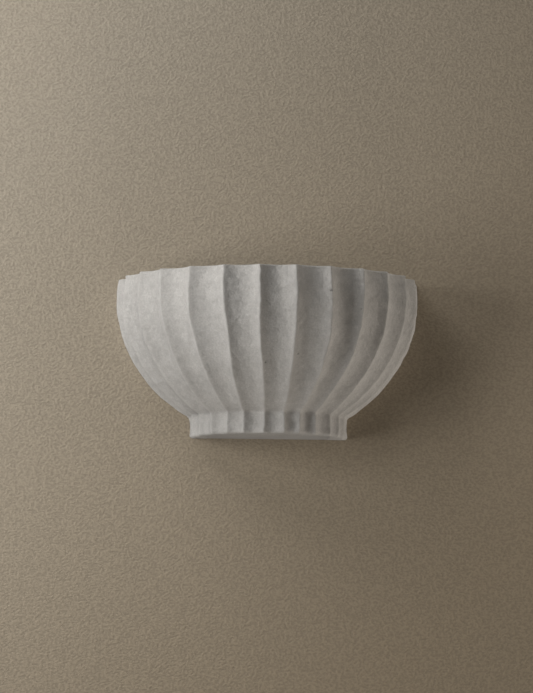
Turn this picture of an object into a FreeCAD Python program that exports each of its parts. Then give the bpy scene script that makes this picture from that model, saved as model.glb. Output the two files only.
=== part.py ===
import FreeCAD, Part
import Sketcher
import math
import os
import re

from FreeCAD import Placement, Rotation, Vector

# A shell wall sconce: a fluted half-bowl of cast plaster that hangs on a steel wall plate and hides
# a lampholder and bulb, so that the light goes up the wall.
#
# Millimetres. +Z is up, the wall is the plane Y = 0 and the light stands out from it towards -Y.
# The origin is on the wall, midway between the two fixing slots of the wall plate. The shade is
# measured from the underside of its foot, which lies fixing_height below the origin.

DIMENSIONS = [
    # The plaster shade. The ridges between its flutes lie on a surface of revolution: an upright
    # foot, and above it a bowl whose section is an ellipse.
    ("rim_height", 160, "underside of the foot to the rim"),
    ("fixing_height", 86, "underside of the foot to the fixing slots"),
    ("foot_radius", 79.9, "ridge radius of the foot"),
    ("foot_straight", 19.2, "height at which the foot starts to turn into the bowl"),
    ("bowl_start", 22.7, "height at which the bowl's ellipse takes over"),
    ("bowl_axis_offset", 11.2, "how far the ellipse's centre lies behind the bowl's axis"),
    ("bowl_reach", 163.9, "horizontal half axis of the ellipse"),
    ("bowl_centre_height", 138.6, "height of the ellipse's centre, where the bowl is widest"),
    ("bowl_drop", 140.8, "vertical half axis of the ellipse"),
    ("flute_count", 13, "flutes round the half bowl"),
    ("flute_centre_ratio", 1.161, "a flute's centre line to the axis, over the ridge radius"),
    ("flute_cut_ratio", 0.207, "radius of a flute, over the ridge radius"),
    ("rim_round", 1.2, "rounding of the rim's edges"),
    ("foot_round", 2, "rounding of the foot's lower edge"),
    ("cavity_offset", 16.35, "how far the centre of the cavity's arc lies before the axis"),
    ("cavity_centre_height", 142, "height of the centre of the cavity's arc"),
    ("cavity_radius", 119.5, "radius of the cavity's arc"),
    ("well_radius", 62, "radius of the well in the foot, below the cavity's arc"),
    ("floor_height", 12, "top of the plaster floor in the foot"),
    ("blank_wall", 19.5, "wall of the turned blank, before its flutes are cut"),
    ("blank_foot_allowance", 4, "what the blank's foot stands proud of the ridges"),
    # The closing plate under the foot.
    ("cover_width", 120, "width of the closing plate"),
    ("cover_depth", 40, "wall to the front edge of the closing plate"),
    ("cover_thick", 1.5, "thickness of the closing plate"),
    ("cover_recess", 0.2, "how far the plate lies inside the underside"),
    ("cover_gap", 0.4, "gap round the closing plate"),
    ("ledge_side", 12, "width of the ledge beside the opening"),
    ("ledge_front", 8, "width of the ledge in front of the opening"),
    ("cover_screw_across", 54.5, "cover screws, from the middle"),
    ("cover_screw_near", 8, "wall to the nearer pair of cover screws"),
    ("cover_screw_far", 32, "wall to the farther pair of cover screws"),
    ("cover_insert_radius", 2.3, "outer radius of the brass inserts for the cover screws"),
    ("cover_insert_length", 7, "length of those inserts"),
    # The hanger bar across the back of the shade, and the plaster lugs that hold it.
    ("bar_half_length", 130, "half the length of the hanger bar"),
    ("bar_back", 4, "wall to the back of the hanger bar"),
    ("bar_thick", 2, "thickness of the hanger bar"),
    ("bar_low", 22, "lower edge of the hanger bar"),
    ("bar_high", 48, "upper edge of the hanger bar"),
    ("hook_slot_width", 18, "width of a hook slot"),
    ("hook_slot_height", 8, "height of a hook slot"),
    ("lug_near", 110, "inner side of a lug, from the middle"),
    ("lug_far", 138, "side of a lug that is buried in the wall of the bowl"),
    ("lug_depth", 18, "depth of a lug"),
    ("lug_margin", 2, "what a lug stands past the bar above and below"),
    ("hanger_screw_across", 121, "hanger screws, from the middle"),
    ("hanger_screw_inset", 5, "hanger screws, from the bar's edges"),
    ("hanger_insert_radius", 3, "outer radius of the brass inserts for the hanger screws"),
    ("hanger_insert_length", 12, "length of those inserts"),
    # The wall plate with its two tongues.
    ("plate_half_width", 55, "half the width of the wall plate"),
    ("plate_low", 46, "fixing slots to the plate's lower edge"),
    ("plate_high", 36, "fixing slots to the plate's upper edge and the tops of its tongues"),
    ("sheet_thick", 2, "thickness of the plate and of the lamp arm"),
    ("plate_corner", 8, "radius of the plate's lower corners"),
    ("fixing_across", 40, "a fixing slot, from the middle"),
    ("fixing_width", 5, "width of a fixing slot"),
    ("fixing_length", 14, "length of a fixing slot"),
    ("tongue_across", 40, "a tongue, from the middle"),
    ("tongue_width", 14, "width of a tongue"),
    ("tongue_reach", 8.4, "wall to the front of a tongue's lip"),
    ("lip_height", 4, "what a lip stands above its tongue"),
    ("cable_hole_radius", 7, "radius of the cable hole"),
    ("grommet_bore_radius", 4.5, "radius of the grommet's bore"),
    ("grommet_flange_radius", 10, "radius of the grommet's flange"),
    ("grommet_flange_thick", 2.5, "thickness of the grommet's flange"),
    # The lamp arm.
    ("lamp_reach", 58, "wall to the lamp's axis"),
    ("shelf_drop", 40, "fixing slots down to the top of the arm's shelf"),
    ("arm_half_width", 20, "half the width of the arm at the wall"),
    ("arm_end_radius", 16, "radius of the arm's round end"),
    ("arm_flange_drop", 18, "fixing slots down to the top of the arm's flange"),
    ("bend_radius", 1.5, "inner radius of the arm's bend"),
    ("rivet_across", 12, "arm rivets, from the middle"),
    ("rivet_drop", 26, "fixing slots down to the arm rivets"),
    # The lampholder for an E27 cap, measured upwards from the shelf's top.
    ("nipple_radius", 5, "outer radius of the M10 nipple"),
    ("nipple_bore_radius", 3.75, "radius of the nipple's bore"),
    ("nipple_low", 7, "what the nipple stands below the shelf's top"),
    ("nipple_high", 6.5, "what the nipple stands above the shelf's top"),
    ("washer_radius", 9, "outer radius of the washer under the shelf"),
    ("washer_thick", 1, "thickness of the washer"),
    ("nut_width", 14, "width of the nut across its flats"),
    ("nut_thick", 3, "thickness of the nut"),
    ("holder_radius", 20, "outer radius of the lampholder"),
    ("holder_wall", 2.2, "wall of the lampholder"),
    ("base_foot_radius", 13, "radius of the lampholder's base where it sits on the shelf"),
    ("base_floor", 7, "thickness of the base's floor, which the nipple screws into"),
    ("wiring_radius", 12, "radius of the wiring space above the base's floor"),
    ("base_shoulder", 9, "height at which the base reaches its full radius"),
    ("base_high", 15, "top of the lampholder's base"),
    ("contact_block_low", 11, "underside of the ceramic contact block"),
    ("contact_block_high", 18, "top of the ceramic contact block"),
    ("contact_block_radius", 15, "radius of the ceramic contact block"),
    ("contact_width", 5, "width of the centre contact spring"),
    ("contact_thick", 0.5, "thickness of the centre contact spring"),
    ("contact_foot", 8, "half the span of the centre contact spring"),
    ("contact_flat", 3, "half the flat top of the centre contact spring"),
    ("socket_radius", 13.4, "inner radius of the socket's thread shell"),
    ("socket_wall", 0.5, "wall of the socket's thread shell"),
    ("socket_lip_radius", 10, "inner radius of the thread shell's foot"),
    ("socket_high", 43, "top of the thread shell"),
    ("skirt_high", 44, "top of the lampholder's skirt"),
    ("skirt_mouth_radius", 14.6, "radius of the skirt's mouth"),
    ("skirt_round", 2, "rounding of the skirt's upper edge"),
    # The bulb, measured upwards from the shelf's top.
    ("tip_low", 20, "underside of the bulb's centre contact"),
    ("tip_radius", 4.6, "radius of the bulb's centre contact"),
    ("tip_high", 21.4, "top of the bulb's centre contact"),
    ("cap_low", 26, "lower edge of the bulb's screw cap"),
    ("cap_high", 44.8, "upper edge of the bulb's screw cap"),
    ("cap_radius", 13.1, "radius of the bulb's screw cap"),
    ("cap_wall", 0.4, "wall of the bulb's screw cap"),
    ("collar_neck_low", 36, "lower end of the collar's neck, inside the cap"),
    ("collar_high", 62, "top of the bulb's collar"),
    ("collar_radius", 19.4, "radius of the collar's top"),
    ("collar_wall", 1.6, "wall of the bulb's collar"),
    ("collar_low_radius", 13.6, "radius of the collar just above the cap"),
    ("collar_swell", 40, "radius of the arc of the collar's side"),
    ("board_radius", 16.9, "radius of the bulb's light board"),
    ("board_thick", 1.6, "thickness of the light board"),
    ("emitter_ring", 9.5, "the board's light emitters, from its centre"),
    ("emitter_width", 3, "side of a light emitter"),
    ("emitter_height", 0.7, "height of a light emitter"),
    ("emitter_count", 8, "light emitters"),
    ("globe_radius", 22.5, "radius of the globe"),
    ("globe_wall", 1.2, "wall of the globe"),
    ("bulb_high", 98, "top of the globe"),
    # The terminal block, the earth screw and the leads.
    ("block_left", 22, "middle to the near side of the terminal block"),
    ("pole_pitch", 10, "from one pole to the next"),
    ("pole_count", 3, "poles of the terminal block"),
    ("block_drop", 14, "fixing slots down to the top of the terminal block"),
    ("block_height", 16, "height of the terminal block"),
    ("block_depth", 17, "depth of the terminal block"),
    ("clamp_reach", 11, "wall to the axes of the clamps"),
    ("clamp_radius", 2.6, "outer radius of a clamp"),
    ("clamp_bore_radius", 1.5, "radius of a clamp's bore"),
    ("clamp_length", 14, "length of a clamp"),
    ("clamp_screw_rise", 3.5, "a clamp's screws, from its middle"),
    ("earth_across", 36, "earth screw, from the middle"),
    ("earth_drop", 30, "fixing slots down to the earth screw"),
    ("earth_ring_radius", 4.2, "outer radius of the earth lead's ring terminal"),
    ("earth_ring_thick", 1, "thickness of the ring terminal"),
    ("barrel_radius", 1.9, "outer radius of the ring terminal's barrel"),
    ("barrel_top_drop", 5, "earth screw down to the top of the barrel"),
    ("barrel_length", 7, "length of the barrel"),
    ("barrel_reach", 4.2, "wall to the barrel's axis"),
    ("lead_radius", 1.1, "radius of a lead"),
    ("lead_spread", 2, "a lead in the nipple, from its axis"),
    ("lead_grip", 5, "length of a lead inside a barrel"),
    ("lead_clamped", 10, "length of a lead inside the terminal block"),
    ("lead_low", 58, "fixing slots down to the lowest run of the lamp's leads"),
    ("earth_lead_low", 54, "fixing slots down to where the earth lead turns level"),
    ("earth_lead_sag", 3, "what the earth lead sags before, and rises after, its level run"),
    ("earth_lead_mid_across", -4, "lowest point of the earth lead, from the middle"),
    ("earth_lead_mid_reach", 9, "wall to the lowest point of the earth lead"),
    # Fasteners.
    ("four_head_radius", 3.8, "head radius of the M4 pan screws"),
    ("four_head_height", 1.9, "head height of the M4 pan screws"),
    ("four_shank_radius", 1.9, "shank radius of the M4 screws"),
    ("three_head_radius", 2.7, "head radius of the M3 screws"),
    ("three_head_height", 1.3, "head height of the M3 screws"),
    ("three_shank_radius", 1.4, "shank radius of the M3 screws"),
    ("rivet_head_radius", 3.6, "head radius of the arm rivets"),
    ("rivet_head_height", 1.6, "head height of the arm rivets"),
    ("rivet_shank_radius", 1.9, "shank radius of the arm rivets"),
    ("pan_crown_share", 0.75, "radius of a pan head's flat top, over its head radius"),
    ("rivet_crown_share", 0.6, "radius of a rivet head's flat top, over its head radius"),
    ("driver_slot_reach", 1.1, "half the length of a driver's slot, over the head radius"),
    ("driver_slot_width", 0.3, "width of a driver's slot, over the head radius"),
    ("driver_slot_depth", 0.45, "depth of a driver's slot, over the head height"),
    ("screwed_gap", 0.05, "radial gap where one round piece is screwed or pressed into another"),
    ("loose_gap", 0.2, "radial gap of a clearance hole"),
]
NAMES = {alias for alias, number, meaning in DIMENSIONS}

BOWL_STATIONS = 7                       # circles that a bowl flute is lofted through
JUNCTION_STATIONS = 4                   # circles that turn the foot's flute into the bowl's
JUNCTION_TURN = 60                      # degrees from the upright foot to the start of the bowl
ARC_SHARE = 0.45                        # share of the shorter run that a lead's arc takes
TOUCH = 0.01                            # mm within which an edge counts as lying on a plane
LEAST_CUT = 1e-3                        # mm3 that a cut has to take away


# ------------------------------------------------------------- the document and its sheet

document = FreeCAD.newDocument("shell_wall_sconce")
sheet = document.addObject("Spreadsheet::Sheet", "dims")


def fill_sheet():
    """Give each driving dimension a row: its number, its name and what it is."""
    for row, (alias, number, meaning) in enumerate(DIMENSIONS, start=1):
        sheet.set("A%d" % row, str(number))
        sheet.setAlias("A%d" % row, alias)
        sheet.set("B%d" % row, alias)
        sheet.set("C%d" % row, meaning)
    document.recompute()


def on_sheet(text):
    """Point the dimension names in an expression at the sheet's cells."""
    def cell(word):
        return "dims." + word.group() if word.group() in NAMES else word.group()
    return re.sub(r"[a-z_]+", cell, text)


def value(text):
    """The present value of an expression in dimension names."""
    return float(sheet.evalExpression(on_sheet(text)))


def bind(thing, settings):
    """Tie properties of an object to expressions in dimension names."""
    for name, text in settings.items():
        thing.setExpression(name, on_sheet(text))


def place(thing, x="0", y="0", z="0"):
    """Tie an object's place to expressions in dimension names."""
    bind(thing, {"Placement.Base.x": x, "Placement.Base.y": y, "Placement.Base.z": z})


# ------------------------------------------------------------- sketches

def origin_feature(body, role):
    return next(feature for feature in body.Origin.OriginFeatures if feature.Role == role)


def sketch_on(body, name, plane, offset="0"):
    """A sketch on one of the body's origin planes, moved along that plane's normal.

    The normals are +Z for XY_Plane, -Y for XZ_Plane and +X for YZ_Plane.
    """
    sketch = body.newObject("Sketcher::SketchObject", name)
    sketch.AttachmentSupport = [(origin_feature(body, plane), "")]
    sketch.MapMode = "FlatFace"
    bind(sketch, {"AttachmentOffset.Base.z": offset})
    return sketch


def constrain(sketch, text, *definition):
    """Add a constraint whose size is an expression in dimension names."""
    index = sketch.addConstraint(Sketcher.Constraint(*definition, value(text)))
    sketch.setExpression("Constraints[%d]" % index, on_sheet(text))


def hold_point(sketch, geometry, point, corner):
    """Hold a point of a sketch's line or circle at a corner, a pair of expressions."""
    constrain(sketch, corner[0], "DistanceX", -1, 1, geometry, point)
    constrain(sketch, corner[1], "DistanceY", -1, 1, geometry, point)


def add_circle(sketch, x, y, radius):
    centre = Vector(value(x), value(y), 0)
    geometry = sketch.addGeometry(Part.Circle(centre, Vector(0, 0, 1), value(radius)), False)
    hold_point(sketch, geometry, 3, (x, y))
    constrain(sketch, radius, "Radius", geometry)


def left_turning_arc(start, end, radius):
    """The short arc from start to end that keeps its centre on the left."""
    chord = end - start
    rise = math.sqrt(max(0, radius ** 2 - (chord.Length / 2) ** 2))
    centre = (start + end) / 2 + Vector(-chord.y, chord.x, 0) * (rise / chord.Length)
    first = math.atan2(start.y - centre.y, start.x - centre.x)
    last = math.atan2(end.y - centre.y, end.x - centre.x)
    return Part.ArcOfCircle(Part.Circle(centre, Vector(0, 0, 1), radius), first, last)


def add_outline(sketch, corners, arcs=None):
    """Join corners, pairs of expressions, into a closed loop of straight sides.

    arcs turns a side, by the number of the corner it starts from, into an arc. It gives the arc's
    radius, and whether the arc turns left or right on its way to the next corner. A half circle
    also has a third entry, the direction and place that hold its centre, because its radius alone
    doesn't hold it.
    """
    arcs = arcs or {}
    points = [Vector(value(x), value(y), 0) for x, y in corners]
    sides = []
    for number, start in enumerate(points):
        end = points[(number + 1) % len(points)]
        radius, way, *centre = arcs.get(number, (None, None))
        if radius is None:
            shape = Part.LineSegment(start, end)
        elif way == "left":
            shape = left_turning_arc(start, end, value(radius))
        else:
            shape = left_turning_arc(end, start, value(radius))
        geometry = sketch.addGeometry(shape, False)
        first_point, last_point = (2, 1) if way == "right" else (1, 2)
        sides.append((geometry, first_point, last_point))
        hold_point(sketch, geometry, first_point, corners[number])
        if centre:
            direction, text = centre[0]
            constrain(sketch, text, direction, -1, 1, geometry, 3)
        elif radius is not None:
            constrain(sketch, radius, "Radius", geometry)
    for (geometry, first_point, last_point), following in zip(sides, sides[1:] + sides[:1]):
        sketch.addConstraint(Sketcher.Constraint("Coincident", geometry, last_point, *following[:2]))


def add_rectangle(sketch, left, right, low, high):
    add_outline(sketch, [(left, low), (right, low), (right, high), (left, high)])


# ------------------------------------------------------------- features of a body

def new_body(label, x="0", y="0", z="0"):
    body = document.addObject("PartDesign::Body", label)
    body.Label = label
    body.AllowCompound = True
    place(body, x, y, z)
    return body


def pad(body, name, sketch, length, symmetric=False, reverse=False):
    feature = body.newObject("PartDesign::Pad", name)
    feature.Profile = sketch
    feature.SideType = "Symmetric" if symmetric else "One side"
    feature.Reversed = reverse
    bind(feature, {"Length": length})
    return feature


def pocket(body, name, sketch, length, reverse=False):
    """Cut a sketch against its normal, or along it if reversed."""
    feature = body.newObject("PartDesign::Pocket", name)
    feature.Profile = sketch
    feature.Reversed = reverse
    bind(feature, {"Length": length})
    return feature


def turn(body, name, sketch, kind="Revolution", angle=360, reverse=False):
    """Revolve a sketch about its own upright axis, to add or, as a Groove, to take away."""
    feature = body.newObject("PartDesign::" + kind, name)
    feature.Profile = sketch
    feature.ReferenceAxis = (sketch, ["V_Axis"])
    feature.Angle = angle
    feature.Reversed = reverse
    return feature


def mirror(body, name, originals):
    """Repeat features on the other side of the middle plane."""
    feature = body.newObject("PartDesign::Mirrored", name)
    feature.Originals = originals
    feature.MirrorPlane = (origin_feature(body, "YZ_Plane"), [""])
    body.Tip = feature
    return feature


def polar_pattern(body, name, originals, angle, count, reverse=False):
    feature = body.newObject("PartDesign::PolarPattern", name)
    feature.Originals = originals
    feature.Axis = (origin_feature(body, "Z_Axis"), [""])
    feature.Reversed = reverse
    bind(feature, {"Angle": angle, "Occurrences": count})
    body.Tip = feature
    return feature


def edges_where(feature, test):
    """Names of the edges of a feature's shape that pass a test."""
    edges = enumerate(feature.Shape.Edges, start=1)
    return ["Edge%d" % number for number, edge in edges if test(edge)]


def turned(label, corners, arcs=None):
    """A piece of the lampholder or bulb, turned about the lamp's axis.

    Its corners are radii and heights above the arm's shelf.
    """
    body = new_body(label, y="-lamp_reach", z="-shelf_drop")
    profile = sketch_on(body, label + "_profile", "XZ_Plane")
    add_outline(profile, corners, arcs)
    turn(body, label + "_turned", profile)
    return body


# ------------------------------------------------------------- round pieces and fasteners

def cylinder(name, radius, height, low="0"):
    """An upright cylinder on the Z axis, from the height low."""
    solid = document.addObject("Part::Cylinder", name)
    bind(solid, {"Radius": radius, "Height": height})
    place(solid, z=low)
    return solid


def cone(name, low_radius, high_radius, height, low="0"):
    solid = document.addObject("Part::Cone", name)
    bind(solid, {"Radius1": low_radius, "Radius2": high_radius, "Height": height})
    place(solid, z=low)
    return solid


def box(name, width, depth, height, x, y, z):
    """A block from its lowest corner."""
    solid = document.addObject("Part::Box", name)
    bind(solid, {"Length": width, "Width": depth, "Height": height})
    place(solid, x, y, z)
    return solid


def cut(name, base, tool):
    result = document.addObject("Part::Cut", name)
    result.Base = base
    result.Tool = tool
    return result


def fuse(name, shapes):
    result = document.addObject("Part::MultiFuse", name)
    result.Shapes = shapes
    return result


def group(label, members):
    """One sub-part made of several separate solids."""
    result = document.addObject("Part::Compound", label)
    result.Links = members
    result.Label = label
    return result


def aim(thing, direction, x, y, z):
    """Turn an object that was made along +Z to a direction, and place it."""
    thing.Placement = Placement(Vector(), Rotation(Vector(0, 0, 1), Vector(*direction)))
    place(thing, x, y, z)
    return thing


def pan_screw(name, size, length):
    """A slotted pan-head screw: its seat is at z = 0, its shank runs up and its head hangs down."""
    radius = size + "_head_radius"
    height = size + "_head_height"
    seat = cylinder(name + "_seat", radius, height + " / 2", "-%s / 2" % height)
    crown = cone(name + "_crown", "pan_crown_share * " + radius, radius, height + " / 2", "-" + height)
    shank = cylinder(name + "_shank", size + "_shank_radius", length)
    return slotted(name, fuse(name + "_body", [seat, crown, shank]), size, "-" + height)


def countersunk_screw(name, size, length):
    """A slotted countersunk screw: its flat top is at z = 0 and its shank runs up."""
    head = cone(name + "_head", size + "_head_radius", size + "_shank_radius", size + "_head_height")
    shank = cylinder(name + "_shank", size + "_shank_radius", length)
    return slotted(name, fuse(name + "_body", [head, shank]), size, "0")


def slotted(name, screw, size, top):
    """Cut the driver's slot into the head, from the height of its top."""
    radius = size + "_head_radius"
    slot = box(name + "_slot", "2 * driver_slot_reach * " + radius, "driver_slot_width * " + radius,
               "driver_slot_depth * %s_head_height" % size, "-driver_slot_reach * " + radius,
               "-driver_slot_width / 2 * " + radius, top)
    return cut(name, screw, slot)


def tube(name, outer, inner, length):
    """A tube on the Z axis, from z = 0."""
    wall = cylinder(name + "_wall", outer, length)
    bore = cylinder(name + "_bore", inner, length)
    return cut(name, wall, bore)


SIDES = (("left", "-"), ("right", ""))


# ------------------------------------------------------------- the shade and what hangs it

def bowl_radius(height):
    """Ridge radius of the bowl at a height, as an expression."""
    across = "sqrt(1 - ((%s - bowl_centre_height) / bowl_drop)^2)" % height
    return "(bowl_reach * %s - bowl_axis_offset)" % across


def flute_circle(body, name, height, ridge_radius):
    """The circle that a flute cuts at a height, for the flute next to the wall on the right."""
    half_flute = "90 deg / flute_count"
    sketch = sketch_on(body, name, "XY_Plane", height)
    across = "flute_centre_ratio * {0} * cos({1})".format(ridge_radius, half_flute)
    out = "-flute_centre_ratio * {0} * sin({1})".format(ridge_radius, half_flute)
    add_circle(sketch, across, out, "flute_cut_ratio * " + ridge_radius)
    return sketch


def flute_loft(body, name, sections):
    feature = body.newObject("PartDesign::SubtractiveLoft", name)
    feature.Profile = sections[0]
    feature.Sections = sections[1:]
    return feature


def junction_sections(body):
    """Circles along the round that leads from the upright foot into the bowl."""
    sections = []
    for number in range(JUNCTION_STATIONS):
        angle = "%g deg" % (JUNCTION_TURN * number / (JUNCTION_STATIONS - 1))
        full = "%d deg" % JUNCTION_TURN
        height = "(foot_straight + (bowl_start - foot_straight) * sin({0}) / sin({1}))".format(angle, full)
        growth = "({0} - foot_radius) * (1 - cos({1})) / (1 - cos({2}))".format(
            bowl_radius("bowl_start"), angle, full)
        sections.append(flute_circle(body, "junction_station_%d" % number, height,
                                     "(foot_radius + %s)" % growth))
    return sections


def bowl_sections(body):
    """Circles at equal steps of the ellipse's angle, from the junction to just above the rim."""
    low = "acos((bowl_centre_height - bowl_start) / bowl_drop)"
    high = "(180 deg - acos((rim_height + 2 * rim_round - bowl_centre_height) / bowl_drop))"
    sections = []
    for number in range(BOWL_STATIONS):
        share = number / (BOWL_STATIONS - 1)
        angle = "({0} * {1:.6g} + {2} * {3:.6g})".format(low, 1 - share, high, share)
        height = "(bowl_centre_height - bowl_drop * cos(%s))" % angle
        ridge_radius = "(bowl_reach * sin(%s) - bowl_axis_offset)" % angle
        sections.append(flute_circle(body, "bowl_station_%d" % number, height, ridge_radius))
    return sections


def cavity_arc_height(radius, wall="0"):
    """Height at which the cavity's arc, or one a wall outside it, has a radius on its way up."""
    return "(cavity_centre_height - sqrt((cavity_radius + {1})^2 - ({0} - cavity_offset)^2))".format(
        radius, wall)


def cavity_arc_radius(height, wall="0"):
    """Radius at a height of the cavity's arc, or of one a wall outside it."""
    return "(cavity_offset + sqrt((cavity_radius + {1})^2 - ({0} - cavity_centre_height)^2))".format(
        height, wall)


def cut_flutes(body):
    """Cut one flute through foot, junction and bowl, and repeat it round the half circle."""
    foot = pocket(body, "foot_flute", flute_circle(body, "foot_section", "0", "foot_radius"),
                  "foot_straight", reverse=True)
    junction = flute_loft(body, "junction_flute", junction_sections(body))
    bowl = flute_loft(body, "bowl_flute", bowl_sections(body))
    return polar_pattern(body, "flutes", [foot, junction, bowl],
                         "180 * (flute_count - 1) / flute_count", "flute_count", reverse=True)


def shade():
    """The cast plaster half-bowl: turned blank, hollow, flutes, lugs, and the opening in its foot."""
    body = new_body("shade", z="-fixing_height")
    blank_foot = "foot_radius + blank_foot_allowance"
    profile = sketch_on(body, "blank_profile", "XZ_Plane")
    add_outline(profile,
                [("0", "0"), (blank_foot, "0"),
                 (blank_foot, cavity_arc_height("(%s)" % blank_foot, "blank_wall")),
                 (cavity_arc_radius("rim_height", "blank_wall"), "rim_height"), ("0", "rim_height")],
                {2: ("cavity_radius + blank_wall", "left")})
    turn(body, "blank", profile, angle=180, reverse=True)
    hollow = sketch_on(body, "cavity_profile", "XZ_Plane")
    add_outline(hollow,
                [("0", "floor_height"), ("well_radius", "floor_height"),
                 ("well_radius", cavity_arc_height("well_radius")),
                 (cavity_arc_radius("rim_height"), "rim_height"), ("0", "rim_height")],
                {2: ("cavity_radius", "left")})
    turn(body, "cavity", hollow, kind="Groove", angle=180, reverse=True)
    flutes = cut_flutes(body)
    document.recompute()
    rim_edges = round_rim(body, flutes)
    document.recompute()
    round_foot(body, rim_edges)
    add_lugs(body)
    open_foot(body)
    return body


def round_rim(body, flutes):
    """Soften the fluted outer edge of the rim and the edge of the cavity."""
    rim = value("rim_height")

    def on_rim(edge):
        bounds = edge.BoundBox
        curved = edge.Curve.TypeId != "Part::GeomLine"
        return curved and bounds.ZMin > rim - TOUCH and bounds.YMax < TOUCH

    feature = body.newObject("PartDesign::Fillet", "rim_edges")
    feature.Base = (flutes, edges_where(flutes, on_rim))
    bind(feature, {"Radius": "rim_round"})
    return feature


def round_foot(body, before):
    """Soften the fluted lower edge of the foot."""
    def on_foot(edge):
        bounds = edge.BoundBox
        return edge.Curve.TypeId != "Part::GeomLine" and bounds.ZMax < TOUCH and bounds.YMax < TOUCH

    feature = body.newObject("PartDesign::Fillet", "foot_edges")
    feature.Base = (before, edges_where(before, on_foot))
    bind(feature, {"Radius": "foot_round"})


def add_lugs(body):
    """Two lugs inside the back of the bowl carry the brass inserts of the hanger bar."""
    low = "fixing_height + bar_low - lug_margin"
    high = "fixing_height + bar_high + lug_margin"
    section = sketch_on(body, "lug_section", "XZ_Plane", "bar_back + bar_thick")
    add_rectangle(section, "lug_near", "lug_far", low, high)
    lug = pad(body, "lug", section, "lug_depth")
    mirror(body, "lugs", [lug])
    holes = sketch_on(body, "lug_hole_centres", "XZ_Plane", "bar_back + bar_thick")
    for height in ("bar_low + hanger_screw_inset", "bar_high - hanger_screw_inset"):
        add_circle(holes, "hanger_screw_across", "fixing_height + " + height,
                   "hanger_insert_radius + screwed_gap")
    lug_holes = pocket(body, "lug_holes", holes, "hanger_insert_length", reverse=True)
    mirror(body, "all_lug_holes", [lug_holes])


def open_foot(body):
    """The rebate for the closing plate, the opening above it and the holes for its inserts."""
    rebate = sketch_on(body, "rebate_outline", "XY_Plane")
    half = "cover_width / 2 + cover_gap"
    add_rectangle(rebate, "-(%s)" % half, half, "-cover_depth - cover_gap", "0")
    pocket(body, "rebate", rebate, "cover_recess + cover_thick", reverse=True)
    opening = sketch_on(body, "opening_outline", "XY_Plane")
    half = "cover_width / 2 - ledge_side"
    add_rectangle(opening, "-(%s)" % half, half, "ledge_front - cover_depth", "0")
    pocket(body, "opening", opening, "floor_height + cover_recess", reverse=True)
    holes = sketch_on(body, "cover_hole_centres", "XY_Plane", "cover_recess + cover_thick")
    for reach in ("cover_screw_near", "cover_screw_far"):
        add_circle(holes, "cover_screw_across", "-" + reach, "cover_insert_radius + screwed_gap")
    foot_holes = pocket(body, "foot_holes", holes, "cover_insert_length", reverse=True)
    mirror(body, "all_foot_holes", [foot_holes])


def bottom_cover():
    """The closing plate that is let into the underside of the foot."""
    body = new_body("bottom_cover", z="-fixing_height")
    outline = sketch_on(body, "cover_outline", "XY_Plane", "cover_recess")
    add_rectangle(outline, "-cover_width / 2", "cover_width / 2", "-cover_depth", "-cover_gap")
    for side, sign in SIDES:
        for reach in ("cover_screw_near", "cover_screw_far"):
            add_circle(outline, sign + "cover_screw_across", "-" + reach,
                       "three_shank_radius + loose_gap")
    plate = pad(body, "cover_plate", outline, "cover_thick")
    document.recompute()
    recess = value("cover_recess")

    def countersunk(edge):
        return edge.Curve.TypeId == "Part::GeomCircle" and edge.BoundBox.ZMax < recess + TOUCH

    feature = body.newObject("PartDesign::Chamfer", "countersinks")
    feature.Base = (plate, edges_where(plate, countersunk))
    bind(feature, {"Size": "three_head_radius - three_shank_radius"})
    return body


def bottom_cover_screws():
    screws = []
    for side, sign in SIDES:
        for spot in ("near", "far"):
            screw = countersunk_screw("cover_screw_%s_%s" % (side, spot), "three", "cover_insert_length")
            place(screw, sign + "cover_screw_across", "-cover_screw_" + spot,
                  "cover_recess - fixing_height")
            screws.append(screw)
    return group("bottom_cover_screws", screws)


def bottom_cover_inserts():
    inserts = []
    for side, sign in SIDES:
        for spot in ("near", "far"):
            insert = tube("cover_insert_%s_%s" % (side, spot), "cover_insert_radius",
                          "three_shank_radius + screwed_gap", "cover_insert_length")
            place(insert, sign + "cover_screw_across", "-cover_screw_" + spot,
                  "cover_recess + cover_thick - fixing_height")
            inserts.append(insert)
    return group("bottom_cover_inserts", inserts)


def hanger_bar():
    """The steel strip across the back of the shade, with a slot for each tongue of the wall plate."""
    body = new_body("hanger_bar")
    outline = sketch_on(body, "bar_outline", "XZ_Plane", "bar_back")
    add_rectangle(outline, "-bar_half_length", "bar_half_length", "bar_low", "bar_high")
    for side, sign in SIDES:
        for height in ("bar_low + hanger_screw_inset", "bar_high - hanger_screw_inset"):
            add_circle(outline, sign + "hanger_screw_across", height, "four_shank_radius + loose_gap")
        middle = sign + "tongue_across"
        add_rectangle(outline, middle + " - hook_slot_width / 2", middle + " + hook_slot_width / 2",
                      "plate_high - hook_slot_height", "plate_high")
    pad(body, "bar", outline, "bar_thick")
    return body


def hanger_places():
    """Names and places of what sits at each of the hanger bar's four holes."""
    heights = (("low", "bar_low + hanger_screw_inset"), ("high", "bar_high - hanger_screw_inset"))
    for side, sign in SIDES:
        for level, height in heights:
            yield "%s_%s" % (side, level), sign + "hanger_screw_across", height


def hanger_screws():
    screws = []
    for name, across, height in hanger_places():
        screw = pan_screw("hanger_screw_" + name, "four", "hanger_insert_length")
        screws.append(aim(screw, (0, -1, 0), across, "-bar_back", height))
    return group("hanger_screws", screws)


def hanger_inserts():
    inserts = []
    for name, across, height in hanger_places():
        insert = tube("hanger_insert_" + name, "hanger_insert_radius",
                      "four_shank_radius + screwed_gap", "hanger_insert_length")
        inserts.append(aim(insert, (0, -1, 0), across, "-bar_back - bar_thick", height))
    return group("hanger_inserts", inserts)


# ------------------------------------------------------------- the wall plate and what it carries

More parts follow.
